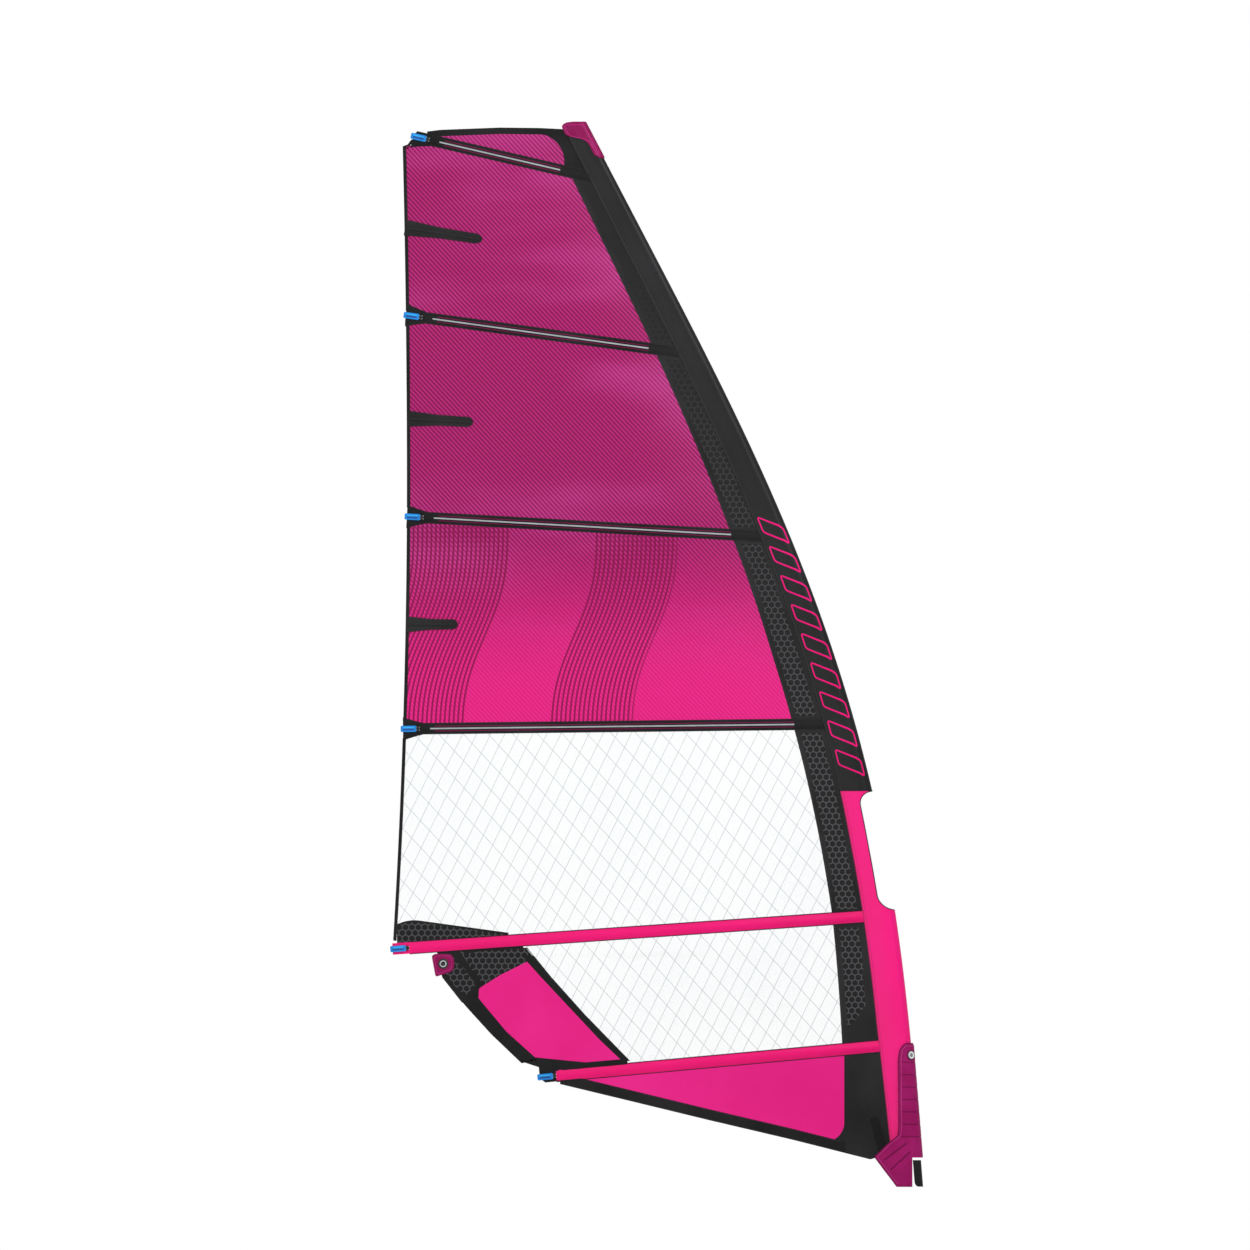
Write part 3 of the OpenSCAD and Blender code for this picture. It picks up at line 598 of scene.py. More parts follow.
def windowMaterial(name):
    mat = newMaterial(name, (0.93, 0.95, 0.96, 1), 0.12, Specular_IOR_Level=0.45)
    tree = mat.node_tree
    coord, x, y, z = place(tree)
    first = striped(tree, x, z, -47, 0.079, 0.035, 0.02)
    second = striped(tree, x, z, 64, 0.055, 0.05, 0.028)
    yarn = calc(tree, "MAXIMUM", first, second)
    haze = ramped(tree, noise(tree, coord, 1.6, 2), 0.35, 0.7, 0.16, 0.26)
    setColor(mat, mixed(tree, yarn, (0.90, 0.92, 0.93, 1), srgb(196, 204, 205)))
    alpha = calc(tree, "MAXIMUM", haze, calc(tree, "MULTIPLY", yarn, 0.72))
    tree.links.new(alpha, tree.nodes["Principled BSDF"].inputs["Alpha"])
    return mat


def honeycombMaterial(name, dark, light, cell, line, fadeLow, fadeHigh):
    mat = newMaterial(name, dark, 0.66, Specular_IOR_Level=0.15)
    tree = mat.node_tree
    coord, x, y, z = place(tree)
    u = calc(tree, "DIVIDE", calc(tree, "ADD", x, 50.0), cell)
    v = calc(tree, "DIVIDE", calc(tree, "ADD", z, 50.0), cell * math.sqrt(3))
    half = math.sqrt(3)

    def centred(value, shift, size):
        return calc(
            tree, "MULTIPLY",
            calc(tree, "SUBTRACT", calc(tree, "FRACT", calc(tree, "ADD", value, shift)), 0.5), size
        )

    def squared(a, b):
        return calc(tree, "ADD", calc(tree, "MULTIPLY", a, a), calc(tree, "MULTIPLY", b, b))

    ax, az, bx, bz = centred(u, 0.0, 1), centred(v, 0.0, half), centred(u, 0.5, 1), centred(v, 0.5, half)
    pick = calc(tree, "LESS_THAN", squared(ax, az), squared(bx, bz))
    other = calc(tree, "SUBTRACT", 1.0, pick)
    gx = calc(
        tree, "ABSOLUTE",
        calc(tree, "ADD", calc(tree, "MULTIPLY", ax, pick), calc(tree, "MULTIPLY", bx, other))
    )
    gz = calc(
        tree, "ABSOLUTE",
        calc(tree, "ADD", calc(tree, "MULTIPLY", az, pick), calc(tree, "MULTIPLY", bz, other))
    )
    ring = calc(
        tree, "MAXIMUM", gx,
        calc(tree, "ADD", calc(tree, "MULTIPLY", gx, 0.5), calc(tree, "MULTIPLY", gz, 0.866))
    )
    wall = ramped(tree, ring, 0.5 - line * 1.5, 0.5 - line * 0.6)
    fade = ramped(tree, z, fadeLow, fadeHigh, 1, 0)
    setColor(mat, mixed(tree, calc(tree, "MULTIPLY", wall, fade), dark, light))
    addBump(tree, wall, 0.5, 0.0004)
    return mat


def laminateMaterial(name, base, light, shade):
    # dyed ply with a fine diamond weave
    mat = newMaterial(name, base, 0.5, Specular_IOR_Level=0.2)
    tree = mat.node_tree
    coord, x, y, z = place(tree)
    one = striped(tree, x, z, 38, 0.0065, 0.2, 0.18)
    two = striped(tree, x, z, -38, 0.0065, 0.2, 0.18)
    net = calc(tree, "MAXIMUM", one, two)
    cloud = ramped(tree, noise(tree, coord, 2.2, 3), 0.35, 0.7)
    color = mixed(tree, calc(tree, "MULTIPLY", cloud, 0.5), base, light)
    setColor(mat, mixed(tree, calc(tree, "MULTIPLY", net, 0.35), color, shade))
    addBump(tree, net, 0.25, 0.0002)
    return mat


def plasticMaterial(name, color, roughness, grain=900.0, coat=0.0, tone=0.12, gloss=0.4):
    mat = newMaterial(
        name, color, roughness, Coat_Weight=coat, Coat_Roughness=0.12, Specular_IOR_Level=gloss
    )
    tree = mat.node_tree
    coord, x, y, z = place(tree)
    fine = noise(tree, coord, grain, 2)
    broad = ramped(tree, noise(tree, coord, 25.0, 3), 0.3, 0.7)
    pale = tuple(min(1.0, c * (1 + 2.2 * tone) + 0.01) for c in color[:3]) + (1.0,)
    setColor(mat, mixed(tree, calc(tree, "MULTIPLY", broad, 0.6), color, pale))
    addBump(tree, fine, 0.12, 0.0002)
    return mat


def metalMaterial(name, color, roughness):
    mat = newMaterial(name, color, roughness, Metallic=1.0)
    tree = mat.node_tree
    coord, x, y, z = place(tree)
    brush = noise(tree, coord, 260.0, 2, (1.0, 0.06, 1.0))
    tree.links.new(
        ramped(tree, brush, 0.3, 0.7, roughness * 0.7, roughness * 1.5),
        tree.nodes["Principled BSDF"].inputs["Roughness"]
    )
    addBump(tree, brush, 0.08, 0.0001)
    return mat


filmDark, filmLight, filmWash = srgb(118, 2, 62), srgb(178, 32, 118), srgb(196, 64, 146)
blackDark, blackLight = srgb(16, 16, 17), srgb(38, 38, 39)
finishes = {
    "magentaFilm": filmMaterial("magentaFilm", filmDark, filmLight, filmWash),
    "hotFilm": filmMaterial(
        "hotFilm", filmDark, filmLight, filmWash, (srgb(196, 0, 92), srgb(226, 34, 134))
    ),
    "windowFilm": windowMaterial("windowFilm"),
    "blackCloth": clothMaterial("blackCloth", blackDark, blackLight),
    "stripCloth": clothMaterial("stripCloth", srgb(24, 24, 25), srgb(48, 48, 49), 0.0016),
    "blackSleeve": clothMaterial(
        "blackSleeve", srgb(10, 10, 11), srgb(28, 28, 30), 0.0014, 0.46, 0.0, 0.2, 2.5, 0.28
    ),
    "neonSleeve": clothMaterial(
        "neonSleeve", srgb(238, 0, 118), srgb(246, 0, 130), 0.0014, 0.42, 0.0, 0.2, 2.5, 0.3
    ),
    "neonCloth": clothMaterial(
        "neonCloth", srgb(226, 0, 104), srgb(240, 0, 118), 0.0014, 0.5, 0.0, 0.3, 2.5, 0.22
    ),
    "neonPly": laminateMaterial("neonPly", srgb(226, 20, 128), srgb(240, 40, 146), srgb(198, 10, 104)),
    "honeycomb": honeycombMaterial("honeycomb", srgb(30, 30, 31), srgb(80, 80, 82), 0.028, 0.07, 1.4, 4.1),
    "clewHoneycomb": honeycombMaterial(
        "clewHoneycomb", srgb(26, 26, 27), srgb(76, 76, 78), 0.028, 0.07, 1.6, 4.0
    ),
    "foam": clothMaterial("foam", srgb(140, 6, 84), srgb(160, 22, 102), 0.0010, 0.6, 0.02, 0.2, 9.0),
    "foamDark": clothMaterial("foamDark", srgb(96, 2, 56), srgb(114, 8, 70), 0.0010, 0.65, 0.02, 0.2, 9.0),
    "foamBead": clothMaterial(
        "foamBead", srgb(186, 52, 132), srgb(204, 74, 150), 0.0010, 0.5, 0.02, 0.1, 9.0
    ),
    "magentaPlastic": plasticMaterial("magentaPlastic", srgb(132, 0, 76), 0.5, 700, 0.0, 0.05, 0.15),
    "magentaLight": plasticMaterial("magentaLight", srgb(186, 30, 122), 0.45, 700, 0.0, 0.05, 0.2),
    "bluePlastic": plasticMaterial("bluePlastic", srgb(0, 122, 200), 0.3, 800, 0.25),
    # darker and lighter copies of the cap blue, for painted shade on the caps' lower half and a painted
    # highlight on their top half
    "bluePaintedShade": plasticMaterial("bluePaintedShade", srgb(0, 66, 140), 0.35, 800, 0.1),
    "bluePaintedHighlight": plasticMaterial("bluePaintedHighlight", srgb(30, 160, 226), 0.3, 800, 0.2),
    "blackPlastic": plasticMaterial("blackPlastic", srgb(24, 24, 25), 0.42, 900),
    "greyPlastic": plasticMaterial("greyPlastic", srgb(120, 122, 124), 0.5, 900),
    "whitePlastic": plasticMaterial("whitePlastic", srgb(226, 228, 232), 0.35, 900, 0.1, 0.03),
    "palePlastic": plasticMaterial("palePlastic", srgb(206, 214, 214), 0.4, 900, 0.0, 0.04),
    "stainless": metalMaterial("stainless", (0.78, 0.78, 0.79, 1), 0.24),
    "carbon": plasticMaterial("carbon", srgb(58, 58, 60), 0.4, 1500),
    "paleBatten": plasticMaterial("paleBatten", srgb(150, 156, 156), 0.42, 1200),
    "magentaPrint": clothMaterial("magentaPrint", srgb(112, 2, 62), srgb(128, 6, 76), 0.0014, 0.6, 0.0),
    "pinkPrint": clothMaterial("pinkPrint", srgb(228, 0, 108), srgb(240, 12, 128), 0.0014, 0.5, 0.0),
    "webbing": clothMaterial("webbing", srgb(16, 16, 17), srgb(40, 40, 42), 0.0030, 0.8, 0.02, 0.8),
    "blackThread": newMaterial("blackThread", srgb(12, 12, 12), 0.6),
    "greyThread": newMaterial("greyThread", srgb(92, 92, 94), 0.6),
    "pinkThread": newMaterial("pinkThread", srgb(170, 0, 84), 0.6),
}
print("materials ready", len(finishes))

# film, windows and cloth panels
panels = {
    "film": 0.0006,
    "strip": 0.0011,
    "patch": 0.0015,
    "tape": 0.0026,
    "bandIn": 0.026,
    "bandWidth": 0.085,
    "bandTopGap": 0.014,
    "bandFoot": 0.525,
    "bandSlant": 1.25,
    "footCorner": 0.085,
    "headCorner": 0.120,
}


def buildPanels():
    p = panels
    f = finishes
    clothPiece(
        "headPanel", bayGrid(0, frontEdge, rearEdge - 0.035, 40, 20, 0.01, 0.0), p["film"],
        f["magentaFilm"], "head_panel"
    )
    rows = {1: 40, 2: 44, 3: 44}
    names = {1: ("upperFilmPanel", "upper_film_panel", "magentaFilm", "magenta_film"),
             2: ("middleFilmPanel", "middle_film_panel", "magentaFilm", "magenta_film"),
             3: ("lowerFilmPanel", "lower_film_panel", "hotFilm", "hot_film")}
    for b, (name, node, finish, slotName) in names.items():
        clothPiece(
            name, bayGrid(b, "strip", "tape", 80, rows[b], 0.010, 0.010), p["film"], f[finish],
            node
        )
    clothPiece(
        "upperWindow", bayGrid(4, "strip", "tape", 80, 48, 0.010, 0.010), p["film"], f["windowFilm"],
        "upper_window"
    )
    clothPiece(
        "lowerWindow", bayGrid(5, "strip", "clew", 70, 36, 0.010, 0.006), p["film"], f["windowFilm"],
        "lower_window"
    )
    clothPiece(
        "footPanel", bayGrid(6, tackEdge, -1.470, 60, 18, 0.006, 0.0), p["film"] + 0.0004, f["neonPly"],
        "foot_panel"
    )
    grid = bayGrid(7, "sleeve", tackEdge, 24, 48, 0.0, 0.006)
    height = grid[:, -1, 1] - footEdge(grid[:, -1, 0]) - outline["footBand"]
    bite = p["footCorner"] - np.sqrt(
        p["footCorner"] ** 2 - np.clip(p["footCorner"] - height, 0, p["footCorner"]) ** 2
    )
    grid[..., 0] -= bite[:, None] * np.linspace(0, 1, grid.shape[1])[None] ** 1.5
    grid[..., 1] = np.maximum(grid[..., 1], footEdge(grid[..., 0]))
    clothPiece("tackPanel", grid, p["patch"], f["stripCloth"], "tack_panel")
    for b in range(1, 6):
        cols, count = 24, 40
        grid = bayGrid(b, "sleeve", "strip", cols, count)
        marks = stripMarks(b, grid)
        clothPiece(
            "luffPanel_%d" % b, grid, p["strip"], [f["stripCloth"], f["honeycomb"]],
            "luff_panel", 0.0, marks
        )
    for b in range(1, 5):
        clothPiece(
            "leechTape_%d" % b, bayGrid(b, "tape", "leech", 3, 60, 0.0, 0.0, 0.034 if b == 1 else 0.012),
            p["tape"], f["blackCloth"], "leech_tape"
        )


def stripMarks(b, grid):
    # the honeycomb band keeps clear of the strip's edges and of the battens
    rows, cols = grid.shape[:2]
    marks = []
    for j in range(rows - 1):
        for i in range(cols - 1):
            x = grid[j : j + 2, i : i + 2, 0].mean()
            z = grid[j : j + 2, i : i + 2, 1].mean()
            behind = x - float(stripX(z))
            top = bayTop(b, x, 0.0) - z
            low = z - bayBottom(b, x, 0.0)
            inside = panels["bandIn"] < behind < panels["bandIn"] + panels["bandWidth"]
            inside = inside and top > panels["bandTopGap"] and low > panels["bandTopGap"]
            if b == 5:
                inside = inside and z - panels["bandFoot"] > (
                    behind - panels["bandIn"]
                ) * panels["bandSlant"]
            marks += [1 if inside else 0] * 2
    rims = 2 * (cols - 1) + 2 * (rows - 1)
    return marks + [0] * rims


buildPanels()
print("film, windows and luff strips done")

# batten pockets
pockets = {
    "wing": 0.0019,
    "height": 0.0148,
    "swell": 0.022,
    "tuck": 0.010,
    "luffSwell": 0.0026,
    "steps": 150,
    "pucker": 0.0004,
    "lineWidth": 0.0062,
    "lineEnd": 0.130,
}


def pocketHeight(v, r, i):
    # half thickness across the pocket
    p = pockets
    bump = np.clip(1 - (np.abs(v) / p["swell"]) ** 2, 0, 1) ** 1.25
    pucker = p["pucker"] * (np.sin(r * 71 + i) * np.sin(r * 23.7 + 2 * i)) * (1 - bump) * bump * 4
    fuller = p["luffSwell"] * np.exp(-(((lines[i].length - r - 0.11) / 0.10) ** 2))
    return p["wing"] / 2 + (p["height"] / 2 - p["wing"] / 2 + fuller) * bump + pucker


def pocketGrid(i, start, side, count=25):
    line = lines[i]
    high, low = line.halfWidth(battens["flareLength"], 1), line.halfWidth(battens["flareLength"], -1)
    v = np.linspace(high, -low, count)
    s = np.linspace(0, 1, pockets["steps"] + 1)
    grid = np.zeros((count, len(s), 3))
    for j, across in enumerate(v):
        r = blendTo(line.frontR(across) + pockets["tuck"], start, s)
        x, z = line.point(r, across)
        rise = np.clip((r - start) / 0.03, 0, 1) ** 0.5
        tuck = np.clip((line.frontR(across) + pockets["tuck"] - r) / pockets["tuck"], 0, 1)
        h = pockets["wing"] / 2 + (
            pocketHeight(across, r, i) - pockets["wing"] / 2
        ) * (0.55 + 0.45 * rise) * (0.08 + 0.92 * tuck)
        grid[j] = np.stack([x, sailY(x, z) + side * h, z], -1)
    return grid


def pocketLine(i, v, width, r0, r1, proud=0.0003):
    # a printed line that follows the pocket's swell, on both sides
    line = lines[i]
    parts = []
    for side in (-1, 1):
        r = np.linspace(r1, r0, 90)
        rows = []
        for across in (v + width / 2, v, v - width / 2):
            x, z = line.point(r, across)
            rows.append(np.stack([x, sailY(x, z) + side * (pocketHeight(across, r, i) + proud), z], -1))
        outer = np.array(rows)
        inner = outer.copy()
        inner[..., 1] -= side * 2 * proud
        parts.append(shell(outer, inner))
    return parts


def buildPockets():
    f = finishes
    for i in range(6):
        near, far = pocketGrid(i, battens["pocketStart"], -1), pocketGrid(i, battens["pocketStart"], 1)
        dark = i < 4
        finish = f["blackCloth"] if dark else f["neonCloth"]
        obj = makePiece(
            "battenPocket_%d" % (i + 1), shell(near, far), finish,
            "pocket_%d" % (i + 1), crease=60
        )
        declareSheet(near)
        line = lines[i]
        if dark:
            start, end = 0.118, line.length - pockets["lineEnd"]
            makePiece(
                "battenLine_%d" % (i + 1), pocketLine(i, 0.0, pockets["lineWidth"], start, end),
                f["paleBatten"]
            )
            edges = pocketLine(i, 0.0105, 0.0028, start + 0.02, end) + pocketLine(
                i, -0.0105, 0.0028, start + 0.02, end
            )
            makePiece("battenPrint_%d" % (i + 1), edges, f["magentaPrint"])
        else:
            # black bindings along both edges of the pink pockets
            rims = []
            for side in (1, -1):
                edge = line.halfWidth(battens["flareLength"], side)
                r = np.linspace(line.frontR(side * edge), battens["pocketStart"], 120)
                x, z = line.point(r, side * (edge + 0.001))
                rims.append(sweep(np.stack([x, sailY(x, z), z], -1), 0.0022, 6))
            makePiece("pocketBinding_%d" % (i + 1), rims, f["blackCloth"])


def leechPatchGrid(i, side):
    line = lines[i]
    inner = 0.0085
    rows = np.linspace(0, 1, 9)
    cols = np.linspace(0, 1, 21)
    grid = np.zeros((len(rows), len(cols), 2))
    for j, t in enumerate(rows):
        for k, c in enumerate(cols):
            r0 = blendTo(battens["pocketStart"] + 0.012, 0.0, c)
            edge = battens["pocketWidth"] / 2 if i == 4 else float(line.halfWidth(r0, side))
            v = side * blendTo(edge, inner, t) if side > 0 else side * blendTo(inner, edge, t)
            grid[j, k] = line.point(r0 if i == 4 else max(r0, float(line.leechR(v)) - 0.004), v)
    return grid


def buildLeechPatches():
    for i in range(6):
        for side in (1, -1):
            name = "leechPatch_%d_%s" % (i + 1, "top" if side > 0 else "low")
            finish, slotName = ("neonCloth", "neon_cloth") if i == 4 else ("blackCloth", "black_cloth")
            clothPiece(
                name, leechPatchGrid(i, side), panels["tape"] + 0.0002, finishes[finish],
                "leech_patches"
            )


miniBattens = {
    "heights": [4.022, 3.189, 2.292],
    "lengths": [0.326, 0.278, 0.218],
    "drops": [0.050, 0.015, 0.0],
    "width": 0.070,
    "lift": 0.0040,
    "thick": 0.0030,
    "tube": 0.0075,
}


def buildMiniBattens():
    m = miniBattens
    for k in range(3):
        z0 = m["heights"][k]
        a = np.array([float(rearX(z0)) + 0.002, z0])
        b = np.array([float(rearX(z0)) + m["lengths"][k] * 1.04, z0 - m["drops"][k] * 1.04])
        d = (b - a) / np.linalg.norm(b - a)
        n = np.array([-d[1], d[0]])
        length = float(np.linalg.norm(b - a))
        s = np.concatenate(
            [np.linspace(0, 0.86, 30), 0.86 + 0.14 * np.sin(np.linspace(0, math.pi / 2, 14))[1:]]
        )
        half = np.interp(s, [0, 0.45, 0.86, 1], [0.5, 0.34, 0.31, 0.31]) * m["width"]
        nose = s > 0.86
        reach = (s[nose] - 0.86) * length
        radius = 0.14 * length
        half[nose] = half[nose] * np.sqrt(np.clip(1 - (reach / radius) ** 2.6, 0.0, 1)) + 0.0008
        across = np.linspace(1, -1, 19)
        outer = np.zeros((len(across), len(s), 3))
        inner = outer.copy()
        for j, q in enumerate(across):
            pts = a[None] + np.outer(s * length, d) + np.outer(half * q, n)
            y = sailY(pts[:, 0], pts[:, 1])
            ridge = np.clip(
                1 - (np.abs(half * q) / 0.0095) ** 2, 0, 1
            ) ** 0.8 * np.clip((0.985 - s) / 0.014, 0, 1)
            outer[j] = np.stack(
                [pts[:, 0], y - 0.0008 - m["thick"] - (m["tube"] - m["thick"]) * ridge, pts[:, 1]], -1
            )
            inner[j] = np.stack([pts[:, 0], y - 0.0004, pts[:, 1]], -1)
        obj = makePiece(
            "miniPocket_%d" % (k + 1), shell(outer, inner), finishes["stripCloth"],
            "mini_batten_pockets", crease=50
        )
        declareSheet(inner)
        # the darker tunnel that holds the short batten
        t = np.linspace(0.01, 0.945, 40)
        pts = a[None] + np.outer(t * length, d)
        path = np.stack([pts[:, 0], sailY(pts[:, 0], pts[:, 1]) - 0.0072, pts[:, 1]], -1)
        makePiece(
            "miniTunnel_%d" % (k + 1), sweep(path, 0.0062, 12, False, 0.35), finishes["blackSleeve"],
        )


buildPockets()
buildLeechPatches()
buildMiniBattens()
print("pockets and leech patches done")

# head, foot and clew cloths
clew = {
    "front": [(-1.670, 0.830), (-1.600, 0.752), (-1.448, 0.590), (-1.345, 0.480), (-1.248, 0.388)],
    "rear": [(-1.885, 0.728), (-1.899, 0.655), (-1.774, 0.508), (-1.640, 0.395), (-1.420, 0.372)],
    "patchLow": [(-1.652, 0.832), (-1.792, 0.762), (-1.872, 0.712), (-1.956, 0.640), (-2.044, 0.752)],
    "patchTop": [-1.697, -1.800, -1.900, -1.985, -2.068],
    "bandIn": [(-1.882, 0.738), (-1.886, 0.662), (-1.764, 0.516), (-1.626, 0.392)],
    "bandOut": [(-1.963, 0.652), (-1.930, 0.614), (-1.830, 0.504), (-1.698, 0.378)],
    "hole": (-2.040, 0.812),
    "plate": [
        (-0.050, 0.034), (-0.036, 0.044), (0.032, 0.042), (0.046, 0.028), (0.050, -0.010), (0.038, -0.034),
        (-0.028, -0.056), (-0.034, -0.052)
    ],
}


def between(first, last, rows, cols):
    # a grid between two lines of points, smoothed along them
    def finer(points):
        points = np.asarray(points, float)
        steps = runLength(points)
        s = np.linspace(0, steps[-1], rows + 1)
        return np.stack([np.interp(s, steps, points[:, k]) for k in (0, 1)], -1)

    a, b = finer(first), finer(last)
    c = np.linspace(0, 1, cols + 1)[None, :, None]
    return a[:, None] * (1 - c) + b[:, None] * c


def bandGrid(xs, high, low):
    # a band between two heights, with its middle line
    return np.stack([np.stack([xs, z], -1) for z in (high, (high + low) / 2, low)])


def buildClothEdges():
    p, f = panels, finishes
    # head: a black patch whose inner corner is curved, and the band along the top
    grid = bayGrid(0, "sleeve", frontEdge, 24, 40, 0.0, 0.0)
    radius = p["headCorner"]
    reach = np.clip(grid[:, -1, 1] - (grid[0, -1, 1] - radius), 0, radius)
    bite = radius - np.sqrt(radius**2 - reach**2)
    grid[..., 0] -= bite[:, None] * np.linspace(0, 1, grid.shape[1])[None] ** 2
    clothPiece("headPatch", grid, p["patch"], f["blackCloth"], "head_patch")
    first = float(seamX(4.44)) + 0.006
    xs = np.linspace(first, -2.110, 61)
    low = np.maximum(headEdge(xs) - outline["headBand"], lines[0].edge(xs, 1, 0.004))
    clothPiece("headBand", bandGrid(xs, headEdge(xs), low), p["tape"], f["blackCloth"], "head_patch")
    xs = np.linspace(tackEdge - 0.001, -1.530, 81)
    high = np.minimum(footEdge(xs) + outline["footBand"], lines[5].edge(xs, -1, 0.004))
    clothPiece("footBand", bandGrid(xs, high, footEdge(xs)), p["tape"], f["blackCloth"], "foot_band")
    # clew: pink cloth, the seam before it, the band behind it and the patch round the ring
    c = clew
    clothPiece(
        "clewPanel", between(c["front"], c["rear"], 30, 18), p["film"] + 0.0004, f["neonPly"],
        "clew_panel"
    )
    front = np.array(between(c["front"], c["front"], 30, 1))[:, 0]
    front = np.vstack([np.array([[-1.716, 0.882]]), front])
    seam = np.stack([-np.interp(front[:, 1], *clewSeam) + 0.003, front[:, 1]], -1)
    inner = front + np.array([-0.012, 0])
    clothPiece(
        "clewSeamTape", np.stack([seam, (seam + inner) / 2, inner], 1), p["patch"], f["blackCloth"],
        "clew_patch"
    )
    clothPiece(
        "clewBand", between(c["bandIn"], c["bandOut"], 30, 6), p["tape"], f["blackCloth"],
        "clew_patch"
    )
    above = [(-1.706, 0.388), (-1.655, 0.394), (-1.640, 0.404), (-1.420, 0.382), (-1.236, 0.398)]
    below = [(x, float(lines[5].edge(x, 1, 0.006))) for x in (-1.625, -1.600, -1.500, -1.400, -1.236)]
    clothPiece(
        "clewFootTape", between(above, below, 40, 6), p["tape"], f["blackCloth"],
        "clew_patch"
    )
    xs = np.interp(np.linspace(0, 4, 41), range(5), c["patchTop"])
    top = np.stack([xs, lines[4].edge(xs, -1, 0.004)], -1)
    low = np.array(between(c["patchLow"], c["patchLow"], 40, 1))[:, 0]
    t = np.linspace(0, 1, 21)[:, None, None]
    grid = top[None] * (1 - t) + low[None] * t
    verts, faces = clothSlab(grid, p["patch"])
    centre = np.array(c["hole"])
    marks = []
    for face in faces:
        mid = verts[list(face)].mean(0)
        slantLine = (mid[0] - centre[0]) * 0.77 + (mid[2] - centre[1]) * 0.64
        band = mid[2] < float(lines[4].edge(mid[0], -1, 0)) - 0.012 and not 0.055 < slantLine < 0.085
        marks.append(1 if band and slantLine > -0.02 else 0)
    obj = makePiece(
        "clewPatch", [(verts, faces, marks)], [f["blackCloth"], f["clewHoneycomb"]],
        "clew_patch"
    )
    declareSheet(onSail(grid))


def leechTriangle():
    # honeycomb print above the fifth batten, at the leech
    line = lines[4]
    xs = np.linspace(-1.755, float(rearX(0.93)) + 0.016, 41)
    share = np.linspace(0, 1, 41)
    low = line.end[1] - line.aft[1] * (line.end[0] - xs) / line.aft[0] + battens["pocketWidth"] / 2 - 0.006
    top = low + 0.012 + 0.100 * share - 0.030 * np.clip((share - 0.8) / 0.2, 0, 1) ** 2
    grid = np.stack([np.stack([xs, blendTo(top, low, t)], -1) for t in np.linspace(0, 1, 9)])
    clothPiece("leechTriangle", grid, panels["strip"], finishes["clewHoneycomb"], ())
    edge = onSail(np.stack([xs, top + 0.001], -1))
    makePiece(
        "leechTriangleTape", sweep(edge, 0.0045, 8, False, 0.35), finishes["blackCloth"]
    )


def roundedOutline(corners, radius, steps=7):
    # corners cut by arcs, in order
    corners = np.asarray(corners, float)
    out = []
    for k, p in enumerate(corners):
        a, b = corners[k - 1] - p, corners[(k + 1) % len(corners)] - p
        la, lb = np.linalg.norm(a), np.linalg.norm(b)
        cut = min(radius, 0.45 * la, 0.45 * lb)
        start, end = p + a / la * cut, p + b / lb * cut
        for t in np.linspace(0, 1, steps):
            out.append((1 - t) ** 2 * start + 2 * t * (1 - t) * p + t * t * end)
    return np.array(out)


def evenLoop(points, count):
    # the same loop as evenly spaced points
    closed = np.vstack([points, points[:1]])
    steps = runLength(closed)
    s = np.linspace(0, steps[-1], count, endpoint=False)
    return np.stack([np.interp(s, steps, closed[:, k]) for k in (0, 1)], -1)


clewPlate = {
    "offset": 0.0006,
    "thick": 0.0028,
    "crown": 0.0012,
    "hole": 0.0145,
    "corner": 0.016,
    "beadInset": 0.78,
    "bead": 0.0012,
}


def buildClewPlates():
    hx, hz = clew["hole"]
    shape = evenLoop(roundedOutline(clew["plate"], clewPlate["corner"]), 96)
    angle = np.arctan2(shape[:, 1], shape[:, 0])
    hole = clewPlate["hole"] * np.stack([np.cos(angle), np.sin(angle)], -1)
    for side, word in ((-1, "near"), (1, "far")):
        rings = []
        base, thick, crown = clewPlate["offset"], clewPlate["thick"], clewPlate["crown"]
        profile = [(0, base), (0, base + thick * 0.6), (0.02, base + thick * 0.9), (0.06, base + thick)]
        profile += [(0.35, base + thick + crown * 0.6), (0.8, base + thick + crown)]
        profile += [(1, base + thick + crown * 0.6), (1, base)]
        for t, y in profile:
            ring = shape * (1 - t) + hole * t
            rings.append(np.stack([hx + ring[:, 0], 0 * ring[:, 0] + side * y, hz + ring[:, 1]], -1))
        rings.append(rings[0])
        makePiece(
            "clewPlate_" + word, loft(rings, False), finishes["magentaPlastic"],
            "clew_plates", crease=50
        )
        inset = shape * clewPlate["beadInset"]
        y = side * (base + thick + crown * 0.35)
        loop = np.stack([hx + inset[:, 0], 0 * inset[:, 0] + y, hz + inset[:, 1]], -1)
        makePiece(
            "clewBead_" + word, sweep(loop, clewPlate["bead"], 8, True), finishes["magentaLight"],
        )
        # black collar round the steel ring
        turn = np.linspace(0, 2 * math.pi, 65)[:-1]
        rings = []
        for radius, y in (
            (0.0218, 0.0036), (0.0222, 0.0056), (0.0212, 0.0066), (0.0165, 0.0068), (0.0150, 0.0062),
            (0.0150, 0.0036)
        ):
            rings.append(
                np.stack([hx + radius * np.cos(turn), 0 * turn + side * y, hz + radius * np.sin(turn)], -1)
            )
        rings.append(rings[0])
        makePiece(
            "clewCollar_" + word, loft(rings, False), finishes["blackPlastic"], crease=50
        )


buildClothEdges()
leechTriangle()
buildClewPlates()
print("head, foot and clew done")

# luff sleeve
sleeve = {
    "wall": 0.0012,
    "tail": 0.0028,
    "foot": -0.020,
    "cutLow": 1.047,
    "cutHigh": 1.565,
    "strip": 0.074,
    "corner": 0.064,
    "top": 4.435,
    "wrinkle": 0.0007,
    "binding": 0.0022,
}


def noseRadius(z):
    return np.interp(z, [1.6, 4.45], [outline["noseLow"], outline["noseHead"]])


